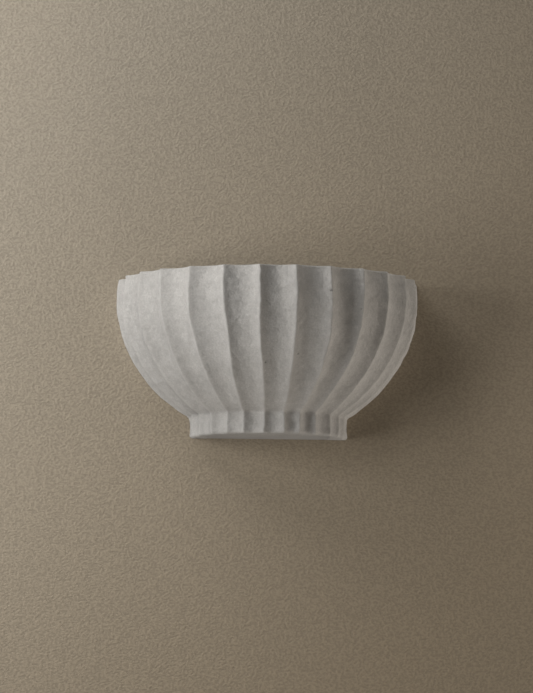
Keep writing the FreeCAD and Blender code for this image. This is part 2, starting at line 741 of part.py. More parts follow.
def add_slot(sketch, middle, width, length):
    """A level slot with round ends, centred on the origin's height."""
    reach = "(%s - %s) / 2" % (length, width)
    left = "%s - %s" % (middle, reach)
    right = "%s + %s" % (middle, reach)
    radius = "%s / 2" % width
    add_outline(sketch,
                [(left, "-" + radius), (right, "-" + radius), (right, radius), (left, radius)],
                {1: (radius, "left", ("DistanceX", right)), 3: (radius, "left", ("DistanceX", left))})


def wall_plate():
    """The steel plate on the wall, with two tongues bent forward from its upper edge."""
    body = new_body("wall_plate")
    outline = sketch_on(body, "plate_outline", "XZ_Plane")
    straight = "plate_half_width - plate_corner"
    add_outline(outline,
                [("-(%s)" % straight, "-plate_low"), (straight, "-plate_low"),
                 ("plate_half_width", "plate_corner - plate_low"), ("plate_half_width", "plate_high"),
                 ("-plate_half_width", "plate_high"), ("-plate_half_width", "plate_corner - plate_low")],
                {1: ("plate_corner", "left"), 5: ("plate_corner", "left")})
    for side, sign in SIDES:
        add_slot(outline, sign + "fixing_across", "fixing_width", "fixing_length")
    add_circle(outline, "0", "0", "cable_hole_radius")
    add_circle(outline, "-earth_across", "-earth_drop", "four_shank_radius + screwed_gap")
    for pole in (1, 2):
        add_circle(outline, block_screw_across(pole), "-block_drop - block_height / 2",
                   "three_shank_radius + screwed_gap")
    for sign in ("-", ""):
        add_circle(outline, sign + "rivet_across", "-rivet_drop", "rivet_shank_radius + screwed_gap")
    pad(body, "plate", outline, "sheet_thick")
    section = sketch_on(body, "tongue_section", "YZ_Plane", "tongue_across")
    lip_back = "sheet_thick - tongue_reach"
    add_outline(section,
                [("-sheet_thick / 2", "plate_high"), (lip_back, "plate_high"),
                 (lip_back, "plate_high + lip_height"), ("-tongue_reach", "plate_high + lip_height"),
                 ("-tongue_reach", "plate_high"), (lip_back, "plate_high - sheet_thick"),
                 ("-sheet_thick / 2", "plate_high - sheet_thick")],
                {4: ("sheet_thick", "left")})
    tongue = pad(body, "tongue", section, "tongue_width", symmetric=True)
    mirror(body, "tongues", [tongue])
    return body


def lamp_arm():
    """The bent steel arm: a flange riveted to the wall plate, and a shelf for the lampholder."""
    body = new_body("lamp_arm")
    back = "-sheet_thick"
    front = "-2 * sheet_thick"
    bend_start = "-2 * sheet_thick - bend_radius"
    profile = sketch_on(body, "bend_section", "YZ_Plane")
    add_outline(profile,
                [(back, "-arm_flange_drop"), (front, "-arm_flange_drop"),
                 (front, "bend_radius - shelf_drop"), (bend_start, "-shelf_drop"),
                 (bend_start, "-shelf_drop - sheet_thick"), (back, "bend_radius - shelf_drop")],
                {2: ("bend_radius", "right"), 4: ("bend_radius + sheet_thick", "left")})
    pad(body, "flange", profile, "2 * arm_half_width", symmetric=True)
    shelf = sketch_on(body, "shelf_outline", "XY_Plane", "-shelf_drop - sheet_thick")
    add_outline(shelf,
                [("-arm_half_width", bend_start), ("-arm_end_radius", "-lamp_reach"),
                 ("arm_end_radius", "-lamp_reach"), ("arm_half_width", bend_start)],
                {1: ("arm_end_radius", "left", ("DistanceY", "-lamp_reach"))})
    add_circle(shelf, "0", "-lamp_reach", "nipple_radius + screwed_gap")
    pad(body, "shelf", shelf, "sheet_thick")
    holes = sketch_on(body, "rivet_centres", "XZ_Plane", "sheet_thick")
    for sign in ("-", ""):
        add_circle(holes, sign + "rivet_across", "-rivet_drop", "rivet_shank_radius + screwed_gap")
    pocket(body, "rivet_holes", holes, "sheet_thick", reverse=True)
    return body


def arm_rivets():
    """Two rivets, headed over in front and flush with the back of the wall plate."""
    rivets = []
    for side, sign in SIDES:
        head = cone("rivet_head_" + side, "rivet_crown_share * rivet_head_radius", "rivet_head_radius",
                    "rivet_head_height", "-rivet_head_height")
        shank = cylinder("rivet_shank_" + side, "rivet_shank_radius", "2 * sheet_thick")
        rivet = fuse("rivet_" + side, [head, shank])
        rivets.append(aim(rivet, (0, 1, 0), sign + "rivet_across", "-2 * sheet_thick", "-rivet_drop"))
    return group("arm_rivets", rivets)


def cable_grommet():
    """The rubber bush in the cable hole, flush at the back."""
    flange = cylinder("grommet_flange", "grommet_flange_radius", "grommet_flange_thick", "sheet_thick")
    neck = cylinder("grommet_neck", "cable_hole_radius", "sheet_thick")
    bore = cylinder("grommet_bore", "grommet_bore_radius", "sheet_thick + grommet_flange_thick")
    bush = cut("cable_grommet", fuse("grommet_body", [flange, neck]), bore)
    return aim(bush, (0, -1, 0), "0", "0", "0")


# ------------------------------------------------------------- terminal block and earth

def pole_across(pole):
    """The middle of a pole, counted from the one nearest the lamp's arm."""
    return "block_left + pole_pitch * %g" % (pole + 0.5)


def block_screw_across(pole):
    """A screw that holds the terminal block stands between two poles."""
    return "block_left + pole_pitch * %d" % pole


def terminal_block():
    body = new_body("terminal_block")
    low = "-block_drop - block_height"
    section = sketch_on(body, "block_section", "XY_Plane", low)
    add_rectangle(section, "block_left", "block_left + pole_pitch * pole_count",
                  "-sheet_thick - block_depth", "-sheet_thick")
    for pole in range(int(value("pole_count"))):
        add_circle(section, pole_across(pole), "-clamp_reach", "clamp_radius + screwed_gap")
    pad(body, "block", section, "block_height")
    screw_holes = sketch_on(body, "clamp_screw_centres", "XZ_Plane", "clamp_reach")
    for pole in range(int(value("pole_count"))):
        for sign in ("+", "-"):
            add_circle(screw_holes, pole_across(pole),
                       "-block_drop - block_height / 2 %s clamp_screw_rise" % sign,
                       "three_head_radius + loose_gap")
    pocket(body, "clamp_screw_holes", screw_holes, "block_depth", reverse=True)
    fixing_holes = sketch_on(body, "block_screw_centres", "XZ_Plane", "sheet_thick")
    for pole in (1, 2):
        add_circle(fixing_holes, block_screw_across(pole), "-block_drop - block_height / 2",
                   "three_shank_radius + loose_gap")
    pocket(body, "block_screw_holes", fixing_holes, "block_depth", reverse=True)
    return body


def terminal_clamps():
    """A brass clamp in each pole, with a tapped hole for each of its two screws."""
    clamps = []
    middle = "-block_drop - block_height / 2"
    for pole in range(int(value("pole_count"))):
        name = "clamp_%d" % pole
        clamp = tube(name + "_tube", "clamp_radius", "clamp_bore_radius", "clamp_length")
        place(clamp, pole_across(pole), "-clamp_reach", middle + " - clamp_length / 2")
        holes = []
        for level, sign in (("low", "-"), ("high", "+")):
            hole = cylinder("%s_hole_%s" % (name, level), "three_shank_radius + screwed_gap",
                            "2 * clamp_radius")
            height = "%s %s clamp_screw_rise" % (middle, sign)
            holes.append(aim(hole, (0, -1, 0), pole_across(pole), "-clamp_reach", height))
        clamps.append(cut(name, clamp, fuse(name + "_holes", holes)))
    return group("terminal_clamps", clamps)


def terminal_screws():
    """The clamp screws, each tightened down to the lead in its clamp."""
    screws = []
    length = "clamp_radius"
    seat = "-clamp_reach - lead_radius - screwed_gap - " + length
    for pole in range(int(value("pole_count"))):
        for level, sign in (("low", "-"), ("high", "+")):
            screw = pan_screw("clamp_screw_%d_%s" % (pole, level), "three", length)
            height = "-block_drop - block_height / 2 %s clamp_screw_rise" % sign
            screws.append(aim(screw, (0, 1, 0), pole_across(pole), seat, height))
    return group("terminal_screws", screws)


def terminal_fixing_screws():
    """The two screws that hold the terminal block to the wall plate."""
    screws = []
    for pole in (1, 2):
        screw = pan_screw("block_screw_%d" % pole, "three", "block_depth + sheet_thick - loose_gap")
        screws.append(aim(screw, (0, 1, 0), block_screw_across(pole), "-sheet_thick - block_depth",
                          "-block_drop - block_height / 2"))
    return group("terminal_fixing_screws", screws)


def earth_ring():
    """The ring terminal of the earth lead: a ring, a neck and a crimped barrel that points down."""
    disc = cylinder("ring_disc", "earth_ring_radius", "earth_ring_thick")
    aim(disc, (0, -1, 0), "-earth_across", "-sheet_thick", "-earth_drop")
    hole = cylinder("ring_hole", "four_shank_radius + loose_gap", "2 * earth_ring_thick")
    aim(hole, (0, -1, 0), "-earth_across", "-sheet_thick", "-earth_drop")
    neck = box("ring_neck", "2 * barrel_radius", "earth_ring_thick", "earth_ring_radius",
               "-earth_across - barrel_radius", "-sheet_thick - earth_ring_thick",
               "-earth_drop - barrel_top_drop - earth_ring_radius / 2")
    barrel = tube("ring_barrel", "barrel_radius", "lead_radius + screwed_gap", "barrel_length")
    place(barrel, "-earth_across", "-barrel_reach", "-earth_drop - barrel_top_drop - barrel_length")
    bore = cylinder("ring_barrel_bore", "lead_radius + screwed_gap", "barrel_length")
    place(bore, "-earth_across", "-barrel_reach", "-earth_drop - barrel_top_drop - barrel_length")
    return cut("earth_ring", fuse("ring_body", [disc, neck, barrel]), fuse("ring_bores", [hole, bore]))


def earth_screw():
    screw = pan_screw("earth_screw", "four", "earth_ring_thick + sheet_thick - loose_gap")
    return aim(screw, (0, 1, 0), "-earth_across", "-sheet_thick - earth_ring_thick", "-earth_drop")


# ------------------------------------------------------------- lampholder

def lampholder_base():
    nipple_hole = "nipple_radius + screwed_gap"
    seat = "contact_block_radius + loose_gap"
    corners = [(nipple_hole, "0"), ("base_foot_radius", "0"), ("holder_radius", "base_shoulder"),
               ("holder_radius", "base_high"), (seat, "base_high"), (seat, "contact_block_low"),
               ("wiring_radius", "contact_block_low"), ("wiring_radius", "base_floor"),
               (nipple_hole, "base_floor")]
    return turned("lampholder_base", corners, {1: ("base_shoulder", "left")})


def lampholder_contact_block():
    return turned("lampholder_contact_block",
                  [("0", "contact_block_low"), ("contact_block_radius", "contact_block_low"),
                   ("contact_block_radius", "contact_block_high"), ("0", "contact_block_high")])


def lampholder_contact():
    """The springy strip that the bulb's centre contact presses on."""
    body = new_body("lampholder_contact", y="-lamp_reach", z="-shelf_drop")
    section = sketch_on(body, "contact_section", "XZ_Plane")
    top = "tip_low - screwed_gap"
    under = top + " - contact_thick"
    inner_foot = "contact_foot - 2 * contact_thick"
    add_outline(section,
                [("-contact_foot", "contact_block_high"), ("-(%s)" % inner_foot, "contact_block_high"),
                 ("-contact_flat", under), ("contact_flat", under), (inner_foot, "contact_block_high"),
                 ("contact_foot", "contact_block_high"), ("contact_flat", top),
                 ("-contact_flat", top)])
    pad(body, "contact", section, "contact_width", symmetric=True)
    return body


def lampholder_thread_shell():
    outer = "socket_radius + socket_wall"
    lip_top = "contact_block_high + socket_wall"
    return turned("lampholder_thread_shell",
                  [("socket_lip_radius", "contact_block_high"), (outer, "contact_block_high"),
                   (outer, "socket_high"), ("socket_radius", "socket_high"),
                   ("socket_radius", lip_top), ("socket_lip_radius", lip_top)])


def lampholder_skirt():
    inner = "holder_radius - holder_wall"
    return turned("lampholder_skirt",
                  [(inner, "base_high"), ("holder_radius", "base_high"),
                   ("holder_radius", "skirt_high - skirt_round"),
                   ("holder_radius - skirt_round", "skirt_high"), ("skirt_mouth_radius", "skirt_high"),
                   ("skirt_mouth_radius", "skirt_high - skirt_round"),
                   (inner, "skirt_high - skirt_round")],
                  {2: ("skirt_round", "left")})


def lampholder_nipple():
    return turned("lampholder_nipple",
                  [("nipple_bore_radius", "-nipple_low"), ("nipple_radius", "-nipple_low"),
                   ("nipple_radius", "nipple_high"), ("nipple_bore_radius", "nipple_high")])


def nipple_washer():
    inner = "nipple_radius + loose_gap"
    low = "-sheet_thick - washer_thick"
    return turned("nipple_washer",
                  [(inner, low), ("washer_radius", low), ("washer_radius", "-sheet_thick"),
                   (inner, "-sheet_thick")])


def nipple_nut():
    """The hexagon nut that clamps the lampholder to the shelf."""
    body = new_body("nipple_nut", y="-lamp_reach", z="-shelf_drop")
    section = sketch_on(body, "nut_section", "XY_Plane", "-sheet_thick - washer_thick - nut_thick")
    corner = "nut_width / 2 / cos(30 deg)"
    add_outline(section, [("%s * cos(%d deg)" % (corner, 60 * side),
                           "%s * sin(%d deg)" % (corner, 60 * side)) for side in range(6)])
    add_circle(section, "0", "0", "nipple_radius + screwed_gap")
    pad(body, "nut", section, "nut_thick")
    return body


# ------------------------------------------------------------- bulb

def bulb_tip():
    return turned("bulb_tip",
                  [("0", "tip_low"), ("contact_flat", "tip_low"),
                   ("tip_radius", "(tip_low + tip_high) / 2"), ("tip_radius", "tip_high"),
                   ("0", "tip_high")])


def bulb_insulator():
    rim = "cap_radius - cap_wall - screwed_gap"
    return turned("bulb_insulator",
                  [("0", "tip_high"), ("tip_radius + cap_wall", "tip_high"), (rim, "cap_low"),
                   (rim, "cap_low + collar_wall"), ("0", "cap_low + collar_wall")])


def bulb_cap():
    inner = "cap_radius - cap_wall"
    return turned("bulb_cap",
                  [(inner, "cap_low"), ("cap_radius", "cap_low"), ("cap_radius", "cap_high"),
                   (inner, "cap_high")])


def bulb_collar():
    """The plastic housing, with a neck inside the cap and room for the driver."""
    neck = "cap_radius - cap_wall - screwed_gap"
    bore = neck + " - collar_wall"
    return turned("bulb_collar",
                  [(bore, "collar_neck_low"), (neck, "collar_neck_low"), (neck, "cap_high"),
                   ("collar_low_radius", "cap_high"), ("collar_radius", "collar_high"),
                   ("collar_radius - collar_wall", "collar_high"), (bore, "cap_high + collar_wall")],
                  {3: ("collar_swell", "left")})


def bulb_light_board():
    """The metal board in the mouth of the collar, with a ring of light emitters."""
    low = "collar_high - board_thick"
    body = turned("bulb_light_board",
                  [("0", low), ("board_radius", low), ("board_radius", "collar_high"),
                   ("0", "collar_high")])
    emitter = sketch_on(body, "emitter_outline", "XY_Plane", "collar_high")
    half = "emitter_width / 2"
    add_rectangle(emitter, "emitter_ring - " + half, "emitter_ring + " + half, "-" + half, half)
    first = pad(body, "emitter", emitter, "emitter_height")
    polar_pattern(body, "emitters", [first], "360", "emitter_count")
    return body


def bulb_globe():
    """The opal globe, a hollow sphere cut off where it sits on the collar."""
    centre = "bulb_high - globe_radius"
    inner = "(globe_radius - globe_wall)"
    foot = "sqrt({0}^2 - (%s - collar_high)^2)" % centre
    return turned("bulb_globe",
                  [(foot.format(inner), "collar_high"), (foot.format("globe_radius"), "collar_high"),
                   ("0", "bulb_high"), ("0", "bulb_high - globe_wall")],
                  {1: ("globe_radius", "left"), 3: (inner, "right")})


# ------------------------------------------------------------- leads

def lead(label, route):
    """A lead along its route: straight runs, joined at each inner point by a tangent arc."""
    runs = [(end - start).Length for start, end in zip(route, route[1:])]
    edges = []
    radii = []
    start = route[0]
    for number in range(1, len(route) - 1):
        corner = route[number]
        back = (route[number - 1] - corner).normalize()
        onward = (route[number + 1] - corner).normalize()
        half_turn = (math.pi - back.getAngle(onward)) / 2
        tangent = ARC_SHARE * min(runs[number - 1], runs[number])
        radius = tangent / math.tan(half_turn)
        inward = (back + onward).normalize()
        middle = corner + inward * (radius / math.cos(half_turn) - radius)
        edges.append(Part.LineSegment(start, corner + back * tangent).toShape())
        edges.append(Part.Arc(corner + back * tangent, middle, corner + onward * tangent).toShape())
        radii.append(radius)
        start = corner + onward * tangent
    edges.append(Part.LineSegment(start, route[-1]).toShape())
    path = Part.Wire(edges)
    section = Part.Circle(route[0], route[1] - route[0], value("lead_radius")).toShape()
    solid = path.makePipeShell([Part.Wire([section])], True, False)
    expected = math.pi * value("lead_radius") ** 2 * path.Length
    print("%s: radii %s mm, length %.0f mm, volume over section times length %.4f"
          % (label, ", ".join("%.1f" % radius for radius in radii), path.Length, solid.Volume / expected))
    feature = document.addObject("Part::Feature", label)
    feature.Shape = solid
    return feature


def lamp_lead(label, side, pole):
    """A lead from the contact block, down through the nipple and up into its pole."""
    in_nipple = side * value("lead_spread")
    across = value(pole_across(pole))
    out = -value("lamp_reach")
    low = -value("lead_low")
    clamp_out = -value("clamp_reach")
    end = value("lead_clamped - block_drop - block_height")
    return lead(label, [Vector(in_nipple, out, value("contact_block_low - shelf_drop")),
                        Vector(in_nipple, out, low), Vector(across, clamp_out, low),
                        Vector(across, clamp_out, end)])


def earth_lead():
    """The lead from the ring terminal, below the lamp's arm, to the pole nearest the arm."""
    low = -value("earth_lead_low")
    sag = value("earth_lead_sag")
    middle = value("earth_lead_mid_across")
    middle_out = -value("earth_lead_mid_reach")
    barrel = -value("earth_across")
    barrel_out = -value("barrel_reach")
    across = value(pole_across(0))
    clamp_out = -value("clamp_reach")
    top = value("lead_grip - earth_drop - barrel_top_drop - barrel_length")
    end = value("lead_clamped - block_drop - block_height")
    return lead("earth_lead", [Vector(barrel, barrel_out, top), Vector(barrel, barrel_out, low),
                               Vector(middle, middle_out, low - sag),
                               Vector(across, clamp_out, low + sag),
                               Vector(across, clamp_out, end)])


# ------------------------------------------------------------- the whole light

def build():
    fill_sheet()
    return [
        shade(), bottom_cover(), bottom_cover_screws(), bottom_cover_inserts(),
        hanger_bar(), hanger_screws(), hanger_inserts(),
        wall_plate(), lamp_arm(), arm_rivets(), cable_grommet(),
        terminal_block(), terminal_clamps(), terminal_screws(), terminal_fixing_screws(),
        earth_ring(), earth_screw(),
        lampholder_base(), lampholder_contact_block(), lampholder_contact(),
        lampholder_thread_shell(), lampholder_skirt(), lampholder_nipple(), nipple_washer(),
        nipple_nut(),
        bulb_tip(), bulb_insulator(), bulb_cap(), bulb_collar(), bulb_light_board(), bulb_globe(),
        lamp_lead("neutral_lead", -1, 1), lamp_lead("live_lead", 1, 2), earth_lead(),
    ]


def check(subparts):
    """Stop if a feature failed, a cut took nothing away, or a sub-part isn't a sound solid."""
    failed = [thing.Name for thing in document.Objects if {"Invalid", "Error"} & set(thing.State)]
    if failed:
        raise RuntimeError("failed features: " + ", ".join(failed))
    for thing in document.Objects:
        if thing.TypeId in ("PartDesign::Pocket", "PartDesign::Groove", "PartDesign::SubtractiveLoft"):
            if thing.Shape.Volume > thing.BaseFeature.Shape.Volume - LEAST_CUT:
                raise RuntimeError("%s cuts nothing" % thing.Name)
    for subpart in subparts:
        shape = subpart.Shape
        if shape.isNull() or not shape.isValid() or not shape.Solids:
            raise RuntimeError("%s has no sound solid" % subpart.Label)


def write(subparts):
    """Write each sub-part to a file with its name."""
    os.makedirs("parts", exist_ok=True)
    for subpart in subparts:
        shape = subpart.Shape
        print("%-26s solids %d, volume %10.1f mm3" % (subpart.Label, len(shape.Solids), shape.Volume))
        shape.exportStep("parts/%s.step" % subpart.Label)


SUBPARTS = build()
document.recompute()
check(SUBPARTS)
write(SUBPARTS)
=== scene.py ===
import math

import bpy
import numpy as np
from bpy.props import FloatProperty, FloatVectorProperty, IntProperty, PointerProperty
from bpy.types import Operator, Panel, PropertyGroup
from mathutils import Matrix, Vector


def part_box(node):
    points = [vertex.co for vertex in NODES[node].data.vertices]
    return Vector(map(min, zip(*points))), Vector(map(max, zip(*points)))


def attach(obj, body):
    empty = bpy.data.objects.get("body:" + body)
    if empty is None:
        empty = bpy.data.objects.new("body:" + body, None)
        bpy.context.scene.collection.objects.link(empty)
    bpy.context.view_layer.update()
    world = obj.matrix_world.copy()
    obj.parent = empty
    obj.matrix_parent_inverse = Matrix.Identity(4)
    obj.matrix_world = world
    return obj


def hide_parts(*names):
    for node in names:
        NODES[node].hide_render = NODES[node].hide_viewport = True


bl_info = {
    "name": "Shell wall sconce",
    "version": (1, 0, 0),
    "blender": (4, 5, 0),
    "location": "3D View > Sidebar > Sconce",
    "description": "Dresses the packed frame of a fluted plaster wall light",
    "category": "Object",
}

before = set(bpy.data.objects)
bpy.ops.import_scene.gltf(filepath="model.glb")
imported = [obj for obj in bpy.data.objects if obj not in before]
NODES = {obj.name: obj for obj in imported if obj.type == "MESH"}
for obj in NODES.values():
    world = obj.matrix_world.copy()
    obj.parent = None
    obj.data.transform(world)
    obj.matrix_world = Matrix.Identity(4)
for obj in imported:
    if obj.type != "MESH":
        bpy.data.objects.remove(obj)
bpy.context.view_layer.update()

MM = 0.001
SHADE_LOW, SHADE_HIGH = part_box("shade")
FOOT_LOW = SHADE_LOW.z / MM             # underside of the foot, in the frame's millimetres
RIM_HEIGHT = (SHADE_HIGH.z - SHADE_LOW.z) / MM
LAMP_Y = -58.0                          # the lamp's upright axis
SHELF_TOP = -40.0                       # what the lampholder stands on

# The shade's section, as in the CAD source: heights above the underside of the foot.
FOOT_RADIUS = 79.9
FOOT_STRAIGHT = 19.2
BOWL_START = 22.7
JUNCTION_TURN = math.radians(60)
BOWL_OFFSET = 11.2
BOWL_REACH = 163.9
BOWL_CENTRE = 138.6
BOWL_DROP = 140.8
FLUTE_CENTRE = 1.161
FLUTE_CUT = 0.207
CAVITY_OFFSET = 16.35
CAVITY_CENTRE = 142.0
CAVITY_RADIUS = 119.5
WELL_RADIUS = 62.0
FLOOR_HEIGHT = 12.0
REBATE_DEPTH = 1.7
REBATE_HALF, REBATE_REACH = 60.4, 40.4
OPENING_HALF, OPENING_REACH = 48.0, 32.0

# The waves, as length and size in mm, by which the hand-cut ridges stray sideways and rise and fall.
STRAY_WAVES = ((260, 1.3), (120, 0.7), (70, 0.22), (31, 0.16), (13, 0.07))
RISE_WAVES = ((95, 0.30), (37, 0.14))
FLUTE_VARIETY = 0.10                    # how much deeper or shallower one flute is than another
FOOT_BLEND, FOOT_BLEND_SPREAD = 26, 4   # height at which the foot begins, and how softly, in mm
CORNER_HEIGHT, CORNER_SPREAD = 25, 5    # where the outermost ridges turn into the foot, in mm
CORNER_FILL = (1.2, 1.8)                # plaster in that corner on the left and the right, in mm
FOOT_RISE = (-2.0, 1.8)                 # how far the foot's left and right ends stand out, in mm

LUGS = (("lug_left", (-139, -24.2, 20), (-110, -6, 50), 21),
        ("lug_right", (110, -24.2, 20), (139, -6, 50), 22))
LUG_ROUNDING = 3.0

# The bulb's and the lampholder's heights above the shelf, in mm.
BOARD_UP = 62
GLOBE_MIDDLE_UP = 75.5
GLOBE_OUTER, GLOBE_INNER = 22.5, 21.3
POLE_GAP = 0.004                        # angle left open at the globe's top, in radians

CAMERA_PLACE = (-0.3178, -4.3061, -0.4390)
CAMERA_TARGET = (0.0, -0.070, -0.006)
CAMERA_ROLL = math.radians(0.32)
CAMERA_SHIFT = (-0.0058, 0.0069)        # the aim's shift to the right and up, in m


# ------------------------------------------------------------------ settings

class SconceSizes(PropertyGroup):
    flute_count: IntProperty(
        name="Flutes", description="Flutes round the half bowl", default=13, min=5, max=31)
    ridge_softness: FloatProperty(
        name="Ridge softness", description="How far a ridge's rounding reaches to each side",
        default=1.25 * MM, unit="LENGTH", precision=5)
    rim_rounding: FloatProperty(
        name="Rim rounding", description="Radius of the rim's edges",
        default=1.9 * MM, unit="LENGTH", precision=5)
    foot_rounding: FloatProperty(
        name="Foot rounding", description="Radius of the foot's lower edge",
        default=3.3 * MM, unit="LENGTH", precision=5)
    thread_pitch: FloatProperty(
        name="Thread pitch", description="Rise of the bulb's screw thread in one turn",
        default=3.6292 * MM, unit="LENGTH", precision=5)
    grip_ribs: IntProperty(
        name="Grip ribs", description="Ribs round the lampholder's skirt", default=44, min=8, max=90)
    unevenness: FloatProperty(
        name="Unevenness", description="Height of the slow waves that hand finishing leaves",
        default=0.32 * MM, unit="LENGTH", precision=5)


class SconceColours(PropertyGroup):
    plaster: FloatVectorProperty(
        name="Plaster", description="Base colour of the plaster", subtype="COLOR",
        size=3, min=0, max=1, default=(0.575, 0.557, 0.53))
    wall: FloatVectorProperty(
        name="Wall", description="Paint on the wall behind", subtype="COLOR",
        size=3, min=0, max=1, default=(0.437, 0.382, 0.303))
    floor: FloatVectorProperty(
        name="Floor", description="The pale floor", subtype="COLOR",
        size=3, min=0, max=1, default=(0.72, 0.70, 0.67))


class SconceStudio(PropertyGroup):
    key_power: FloatProperty(
        name="Key light", description="Power of the soft light high on the left",
        default=5.5, unit="POWER")
    low_power: FloatProperty(
        name="Low light", description="Power of the soft light on the left, level with the bowl",
        default=6.6, unit="POWER")
    fill_power: FloatProperty(
        name="Fill light", description="Power of the warm light far out on the right",
        default=10.5, unit="POWER")
    under_power: FloatProperty(
        name="Light from below", description="Power of the weak warm light from below",
        default=9.5, unit="POWER")
    back_power: FloatProperty(
        name="Back light", description="Power of the light behind, which shows the back of the fitting",
        default=14.0, unit="POWER")
    ambient: FloatProperty(
        name="Ambient", description="Strength of the even light from all round", default=0.060, min=0)
    lens: FloatProperty(
        name="Lens", description="Focal length of the camera", default=223.1, subtype="DISTANCE_CAMERA")


def sizes():
    return bpy.context.scene.sconce_sizes


def colours():
    return bpy.context.scene.sconce_colours


def studio():
    return bpy.context.scene.sconce_studio


# ------------------------------------------------------------------ numpy surfaces

def new_object(name, verts, faces, smooth_angle=None):
    """An object at the origin from an array of points in metres and a list of faces."""
    mesh = bpy.data.meshes.new(name)
    mesh.from_pydata(np.asarray(verts, float).tolist(), [], faces)
    mesh.update()
    if smooth_angle is not None:
        mesh.shade_smooth()
        mesh.set_sharp_from_angle(angle=math.radians(smooth_angle))
    piece = bpy.data.objects.new(name, mesh)
    bpy.context.scene.collection.objects.link(piece)
    return piece


def grid_faces(rows, columns, wrap_rows=False, wrap_columns=False, first=0):
    """Quads between neighbouring points of a grid that is stored row after row."""
    r = np.arange(rows if wrap_rows else rows - 1)
    c = np.arange(columns if wrap_columns else columns - 1)
    r, c = np.meshgrid(r, c, indexing="ij")
    r1, c1 = (r + 1) % rows, (c + 1) % columns
    quads = np.stack([r * columns + c, r * columns + c1, r1 * columns + c1, r1 * columns + c], -1)
    return (quads.reshape(-1, 4) + first).tolist()


def signed_volume(verts, faces):
    """Six times the volume that faces enclose, negative where they point inwards."""
    total = 0.0
    for size in {len(f) for f in faces}:
        ring = np.asarray(verts)[np.array([f for f in faces if len(f) == size])]
        for corner in range(1, size - 1):
            total += np.einsum("ij,ij->", ring[:, 0], np.cross(ring[:, corner], ring[:, corner + 1]))
    return total


def outward(verts, faces):
    """The same faces, turned round if together they point inwards."""
    return faces if signed_volume(verts, faces) > 0 else [face[::-1] for face in faces]


def slow_waves(points, size, seed, count=20):
    """Even unevenness with a spread of 1: the sum of plane waves, each with its own direction, phase
    and a length near size."""
    draw = np.random.default_rng(seed)
    direction = draw.normal(size=(count, 3))
    direction /= np.linalg.norm(direction, axis=1)[:, None]
    pace = 2 * math.pi / (size * draw.uniform(0.65, 1.5, count))
    phase = draw.uniform(0, 2 * math.pi, count)
    waves = np.sin(points @ (direction * pace[:, None]).T + phase)
    return waves.sum(-1) * math.sqrt(2 / count)


def fold(distance, softness):
    """Distance from a crease, rounded off where it is small."""
    return np.sqrt(distance ** 2 + softness ** 2) - softness


def turned(name, profile, centre, columns=96, thread=None, ribs=None):
    """A ring turned about an upright axis from a closed profile of (radius, height) in mm, listed
    outwards and up first. Where given, thread and ribs add an offset to the radius: each takes the
    profile's radii, its heights and the azimuths as a grid."""
    profile = np.asarray(profile, float)
    turn = np.linspace(0, 2 * math.pi, columns, endpoint=False)
    radius, turns = np.meshgrid(profile[:, 0], turn, indexing="ij")
    height = np.repeat(profile[:, 1:], columns, 1)
    for relief in (thread, ribs):
        if relief:
            radius = radius + relief(radius, height, turns)
    points = np.stack([centre[0] + radius * np.cos(turns), centre[1] + radius * np.sin(turns), height], -1)
    verts = points.reshape(-1, 3) * MM
    faces = outward(verts, grid_faces(len(profile), columns, wrap_rows=True, wrap_columns=True))
    return new_object(name, verts, faces, smooth_angle=32)


def along(points, step):
    """A closed profile with points added so that none are further apart than step."""
    out = []
    for start, end in zip(points, points[1:] + points[:1]):
        start, end = np.array(start, float), np.array(end, float)
        parts = max(1, math.ceil(np.linalg.norm(end - start) / step))
        out += [start + (end - start) * k / parts for k in range(parts)]
    return np.array(out)


def arc(start, end, radius, steps=10):
    """Points of the arc of that radius from start to end, both left out, that bulges to the right of
    the way between them."""
    start, end = np.array(start, float), np.array(end, float)
    half = (end - start) / 2
    length = np.linalg.norm(half)
    left = np.array([-half[1], half[0]]) / length
    centre = start + half + left * math.sqrt(radius ** 2 - length ** 2)
    first = math.atan2(*(start - centre)[::-1])
    sweep = 2 * math.asin(length / radius)
    turn = first + sweep * np.arange(1, steps) / steps
    return [tuple(centre + radius * np.array([math.cos(t), math.sin(t)])) for t in turn]


def rounded_block(name, low, high, rounding, seed):
    """A block with a rounded section, swept from high y to low y and rounded at that end. Slow waves
    make it as uneven as a lump that was trowelled in place."""
    low, high = np.array(low, float), np.array(high, float)
    turn = np.linspace(0, math.pi / 2, 7)
    quarter = np.stack([np.cos(turn), np.sin(turn)], -1)
    ring = []
    for number, (sx, sz) in enumerate(((1, 1), (-1, 1), (-1, -1), (1, -1))):
        part = quarter if number % 2 == 0 else quarter[::-1]
        ring.append((part * (sx, sz), np.broadcast_to((sx, sz), part.shape)))
    bend = np.concatenate([part for part, corner in ring])
    corner = np.concatenate([corner for part, corner in ring])
    middle = (low + high)[[0, 2]] / 2
    half = (high - low)[[0, 2]] / 2
    tip = np.linspace(0, math.pi / 2, 6)
    depth = np.concatenate([np.linspace(high[1], low[1] + rounding, 6)[:-1],
                            low[1] + rounding * (1 - np.sin(tip))])
    shrink = np.concatenate([np.zeros(5), rounding * (1 - np.cos(tip))])
    rows = []
    for y, inset in zip(depth, shrink):
        flat = middle + corner * (half - rounding) + bend * max(rounding - inset, 0.15)
        rows.append(np.stack([flat[:, 0], np.full(len(flat), y), flat[:, 1]], -1))
    verts = np.concatenate(rows)
    count = len(bend)
    uneven = 0.25 * slow_waves(verts, 14, seed)[:, None] * (verts - (low + high) / 2) / (high - low)
    verts = (verts + uneven * (verts[:, 1:2] < high[1] - 0.5)) * MM
    faces = grid_faces(len(rows), count, wrap_columns=True)
    last = (len(rows) - 1) * count
    faces = faces + [list(range(count))[::-1], [last + k for k in range(count)]]
    return new_object(name, verts, outward(verts, faces), smooth_angle=50)


